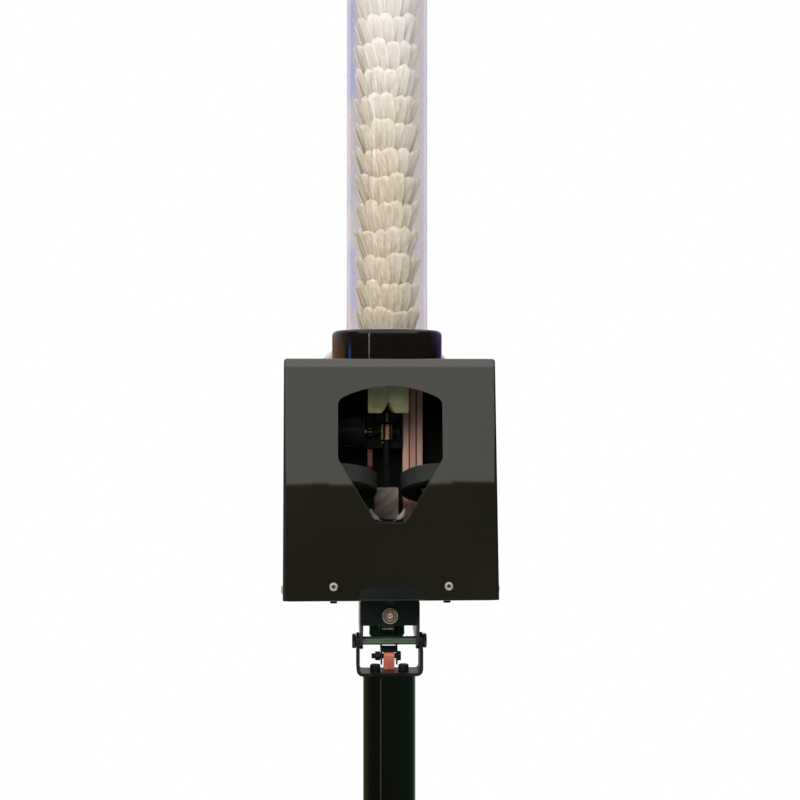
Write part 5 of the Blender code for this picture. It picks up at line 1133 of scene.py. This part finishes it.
# %% [markdown]
# ## Hopper tube
# Clear acrylic, three millimetres thick. Real glass shading refracts at the wall and gives the darker
# edges of a tube, and cloudy patches at its left edge are tinted blue. Lamps and soft light pass by it
# unhindered, as a clear tube hardly shades what it holds, so it is left out of shadows and of
# diffuse light.

# %% Turn the clear tube
def blue_patches(tree):
    """Clouds that fade in towards the tube's left edge."""
    where, parts = coordinates(tree)
    patches = add_node(tree, "TexNoise", {"Vector": where, "Scale": 16}).outputs["Fac"]
    return calculate(tree, "MULTIPLY", between(tree, parts["X"], -30 * MM, -34 * MM),
                     between(tree, patches, 0.44, 0.58))


clear = make_finish("clear_acrylic", (0.72, 0.68, 0.70), (0.78, 0.74, 0.745), (0.0, 0.01), cloud=14,
                    grain=0, IOR=1.49, Transmission_Weight=1.0)
over_base(clear, blue_patches, (0.58, 0.61, 0.80))
tube_low, tube_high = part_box("hopper_tube")
length = (tube_high.z - tube_low.z) / MM
hopper = turn_piece("hopper_tube_acrylic", [(37, 0), (40, 0), (40, length - 0.4), (39.6, length),
                                            (37.4, length), (37, length - 0.4)], 128, hollow=True,
                    stand=(0, HOPPER_Y, tube_low.z))
hopper.visible_shadow = False
hopper.visible_diffuse = False
hand_over(hopper, "head", "tube_clear", clear, "hopper_tube")
print("tube from", round(tube_low.z, 4), "to", round(tube_high.z, 4))

# %% [markdown]
# ## Shuttlecocks
# A shuttlecock has a leather-covered cork and sixteen goose feathers, tied with two rounds of thread.
# Five patterns are modelled, each with its own spread of feathers. They are copied in turn, and each
# copy is turned to another angle and has its own mesh. A feather is a grid bent over a leaf-shaped
# width. Its UV map runs across and along, so the barbs can follow it. The lowest shuttlecocks are
# darker with painted shade and the topmost lighter with painted light, which two more tones by height paint.

# %% Finishes of a shuttlecock
vane = bpy.data.materials.new("feather_vane")
vane.use_nodes = True
tree = vane.node_tree
shader = tree.nodes["Principled BSDF"]
across_and_along = coordinates(tree, "UV")[1]
outward = calculate(tree, "ABSOLUTE", calculate(tree, "SUBTRACT", across_and_along["X"], 0.5))
slope = calculate(tree, "MULTIPLY_ADD", outward, -0.55, across_and_along["Y"])
ripple = calculate(tree, "SINE", calculate(tree, "MULTIPLY", slope, 190))
barbs = add_node(tree, "Bump", {"Height": ripple, "Strength": 0.35, "Distance": 0.2 * MM})
tree.links.new(barbs.outputs["Normal"], shader.inputs["Normal"])
streak = add_node(tree, "Mapping", {"Vector": coordinates(tree)[0], "Scale": (1, 1, 0.09)}).outputs[0]
streaks = add_node(tree, "TexNoise", {"Vector": streak, "Scale": 260, "Detail": 3}).outputs["Fac"]
vane_tone = colour_ramp(tree, streaks, [(0.34, (0.70, 0.61, 0.40)), (0.66, (0.94, 0.91, 0.75))])
tree.links.new(vane_tone, shader.inputs["Base Color"])
for socket, value in (("Roughness", 0.7), ("Subsurface Weight", 0.5), ("Subsurface Radius", (1.0, 0.9, 0.7)),
                      ("Subsurface Scale", 3 * MM)):
    shader.inputs[socket].default_value = value
# Painted shade darkens the lower feathers and painted light brightens the topmost, both by height.
tone_along(vane, "Z", 1.83, 1.56, (0.90, 0.86, 0.82), "MULTIPLY")
tone_along(vane, "Z", 1.72, 1.93, (0.96, 0.95, 0.90))
quill = make_finish("feather_quill", (0.62, 0.52, 0.34), (0.80, 0.72, 0.54), (0.35, 0.5), cloud=60,
                    grain=1500, relief=0.05, depth=0.02)
thread = make_finish("shuttle_thread", (0.60, 0.56, 0.46), (0.76, 0.72, 0.62), (0.6, 0.75), cloud=200,
                     grain=3000, relief=0.5, depth=0.1)
leather = make_finish("cork_leather", (0.78, 0.74, 0.66), (0.90, 0.87, 0.80), (0.45, 0.6), cloud=70,
                      grain=1900, relief=0.25, depth=0.06)
print("feather finishes ready")

# %% [markdown]
# The leaf's half width is given at ten places along its length, and its two sides curl back. Neighbours
# overlap like shingles because each one is twisted a little about its own quill. All lengths in a
# feather are millimetres, and heights are counted from the cork's lowest point.

# %% Model one shuttlecock
HALF_WIDTH = [0.9, 3.2, 5.4, 6.9, 7.8, 8.3, 8.5, 8.4, 7.8, 6.0]
FEATHERS = 16
ROOT_R, ROOT_Z = 10.5, 21.8
RIM_R, RIM_Z = 33, 85
VANE_LENGTH = 51
WIDEST = 34.5
SKIRT_SLOPE = (RIM_R - ROOT_R) / (RIM_Z - ROOT_Z)
ACROSS = 4
STATIONS = 7
QUILL_SIDES = 5


def skirt_radius(z):
    """Distance of the skirt from the axis at a height."""
    return ROOT_R + SKIRT_SLOPE * (z - ROOT_Z)


def grid_faces(rows, columns, ring=False):
    """Faces between rows of points, closed to a tube for a ring."""
    faces = []
    for row in range(rows - 1):
        for column in range(columns if ring else columns - 1):
            a = row * columns + column
            b = row * columns + (column + 1) % columns
            faces.append((a, b, b + columns, a + columns))
    return faces


def feather(index, draw, turn_by):
    """Vane and quill of one feather as two objects."""
    angle = 2 * math.pi * index / FEATHERS + turn_by
    out = Vector((math.cos(angle), math.sin(angle), 0))
    side = Vector((-math.sin(angle), math.cos(angle), 0))
    length = VANE_LENGTH + draw.uniform(-5.5, 0.0)
    start = RIM_Z - VANE_LENGTH
    twist = 0.13 + draw.uniform(-0.06, 0.06)
    sway = draw.uniform(-1.1, 1.1)
    flare = draw.uniform(-1.4, 1.6)
    last = len(HALF_WIDTH) - 1
    points = []
    uv = []
    for row, width in enumerate(HALF_WIDTH):
        s = row / last
        z = start + s * length
        radius = min(skirt_radius(z) + flare * s * s, WIDEST)
        for column in range(-ACROSS, ACROSS + 1):
            w = column / ACROSS
            ragged = draw.uniform(-0.55, 0.35) if abs(column) == ACROSS and row else 0.0
            shift = w * (width + ragged) + sway * s * s * 2
            depth = radius + twist * w * width - 0.9 * w * w * s
            tip_drop = 2.6 * w * w * s * s + (draw.uniform(0, 2.0) if row == last else 0.0)
            points.append((out * depth + side * shift + Vector((0, 0, z - tip_drop))) * MM)
            uv.append((0.5 + w / 2, s))
    vane_piece = mesh_piece("vane", points, grid_faces(len(HALF_WIDTH), 2 * ACROSS + 1))
    layer = vane_piece.data.uv_layers.new(name="across_and_along")
    for loop in vane_piece.data.loops:
        layer.data[loop.index].uv = uv[loop.vertex_index]
    shape_by(vane_piece, "SOLIDIFY", thickness=0.18 * MM)
    bpy.ops.object.shade_smooth()

    points = []
    for row in range(STATIONS):
        s = row / (STATIONS - 1)
        z = ROOT_Z - 3 + s * (length + start - ROOT_Z)
        thick = 0.85 - 0.62 * s
        bend = side * sway * max(0.0, s - 0.25) * 2
        for corner in range(QUILL_SIDES):
            turn_angle = 2 * math.pi * corner / QUILL_SIDES
            offset = out * math.cos(turn_angle) * thick + side * math.sin(turn_angle) * thick
            points.append((out * (skirt_radius(z) + 0.25) + offset + bend + Vector((0, 0, z))) * MM)
    tip = (STATIONS - 1) * QUILL_SIDES
    ends = [tuple(reversed(range(QUILL_SIDES))), tuple(range(tip, tip + QUILL_SIDES))]
    quill_piece = mesh_piece("quill", points, grid_faces(STATIONS, QUILL_SIDES, ring=True) + ends)
    return [in_finish(vane, vane_piece), in_finish(quill, quill_piece)]


def one_shuttle(name, seed):
    """Cork, thread and sixteen feathers, with the cork's lowest point at the origin."""
    draw = random.Random(seed)
    ball = [(13 * math.sin(math.radians(a)), 13 * (1 - math.cos(math.radians(a)))) for a in range(6, 91, 7)]
    cork = in_finish(leather, turn_piece(name, ball + [(13, 23.2), (12.6, 25.2), (11.6, 25.8)], 40))
    band = turn_piece("cork_band", [(13.02, 20.2), (13.12, 20.6), (13.12, 23.0), (12.95, 23.4), (12.6, 23.4),
                                    (12.6, 20.2)], 40, hollow=True)
    others = [in_finish(thread, band)]
    for height in (36.5, 46.0):
        r = skirt_radius(height) + 0.4
        tie = turn_piece("tie", [(r - 0.5, height - 0.6), (r + 0.5, height - 0.4), (r + 0.7, height + 0.4),
                                 (r - 0.3, height + 0.6)], 32, hollow=True)
        others.append(in_finish(thread, tie))
    turn_by = draw.uniform(0, math.pi / 8)
    for index in range(FEATHERS):
        others += feather(index, draw, turn_by)
    return weld_together(name, cork, *others)


SHUTTLES = 13
GOLDEN_TURN = 137.5
lowest_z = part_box("shuttle_01")[0].z
pitch = (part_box("shuttle_%02d" % SHUTTLES)[0].z - lowest_z) / (SHUTTLES - 1)
patterns = [one_shuttle("shuttle_pattern_%d" % seed, seed) for seed in (3, 8, 21, 34, 55)]
for number in range(SHUTTLES):
    name = "shuttle_%02d" % (number + 1)
    source = patterns[number * 3 % len(patterns)]
    shuttle = bpy.data.objects.new(name + "_feathered", source.data.copy())
    scene.collection.objects.link(shuttle)
    shuttle.rotation_euler = (0, 0, math.radians(GOLDEN_TURN * number % 360))
    shuttle.location = (0, HOPPER_Y, lowest_z + number * pitch)
    pick_up(shuttle)
    bpy.ops.object.transform_apply()
    hand_over(shuttle, "shuttle_stack", "shuttle", None, name)
for source in patterns:
    bpy.data.objects.remove(source, do_unlink=True)
print("shuttlecocks:", SHUTTLES, "of", len(shuttle.data.polygons), "faces")
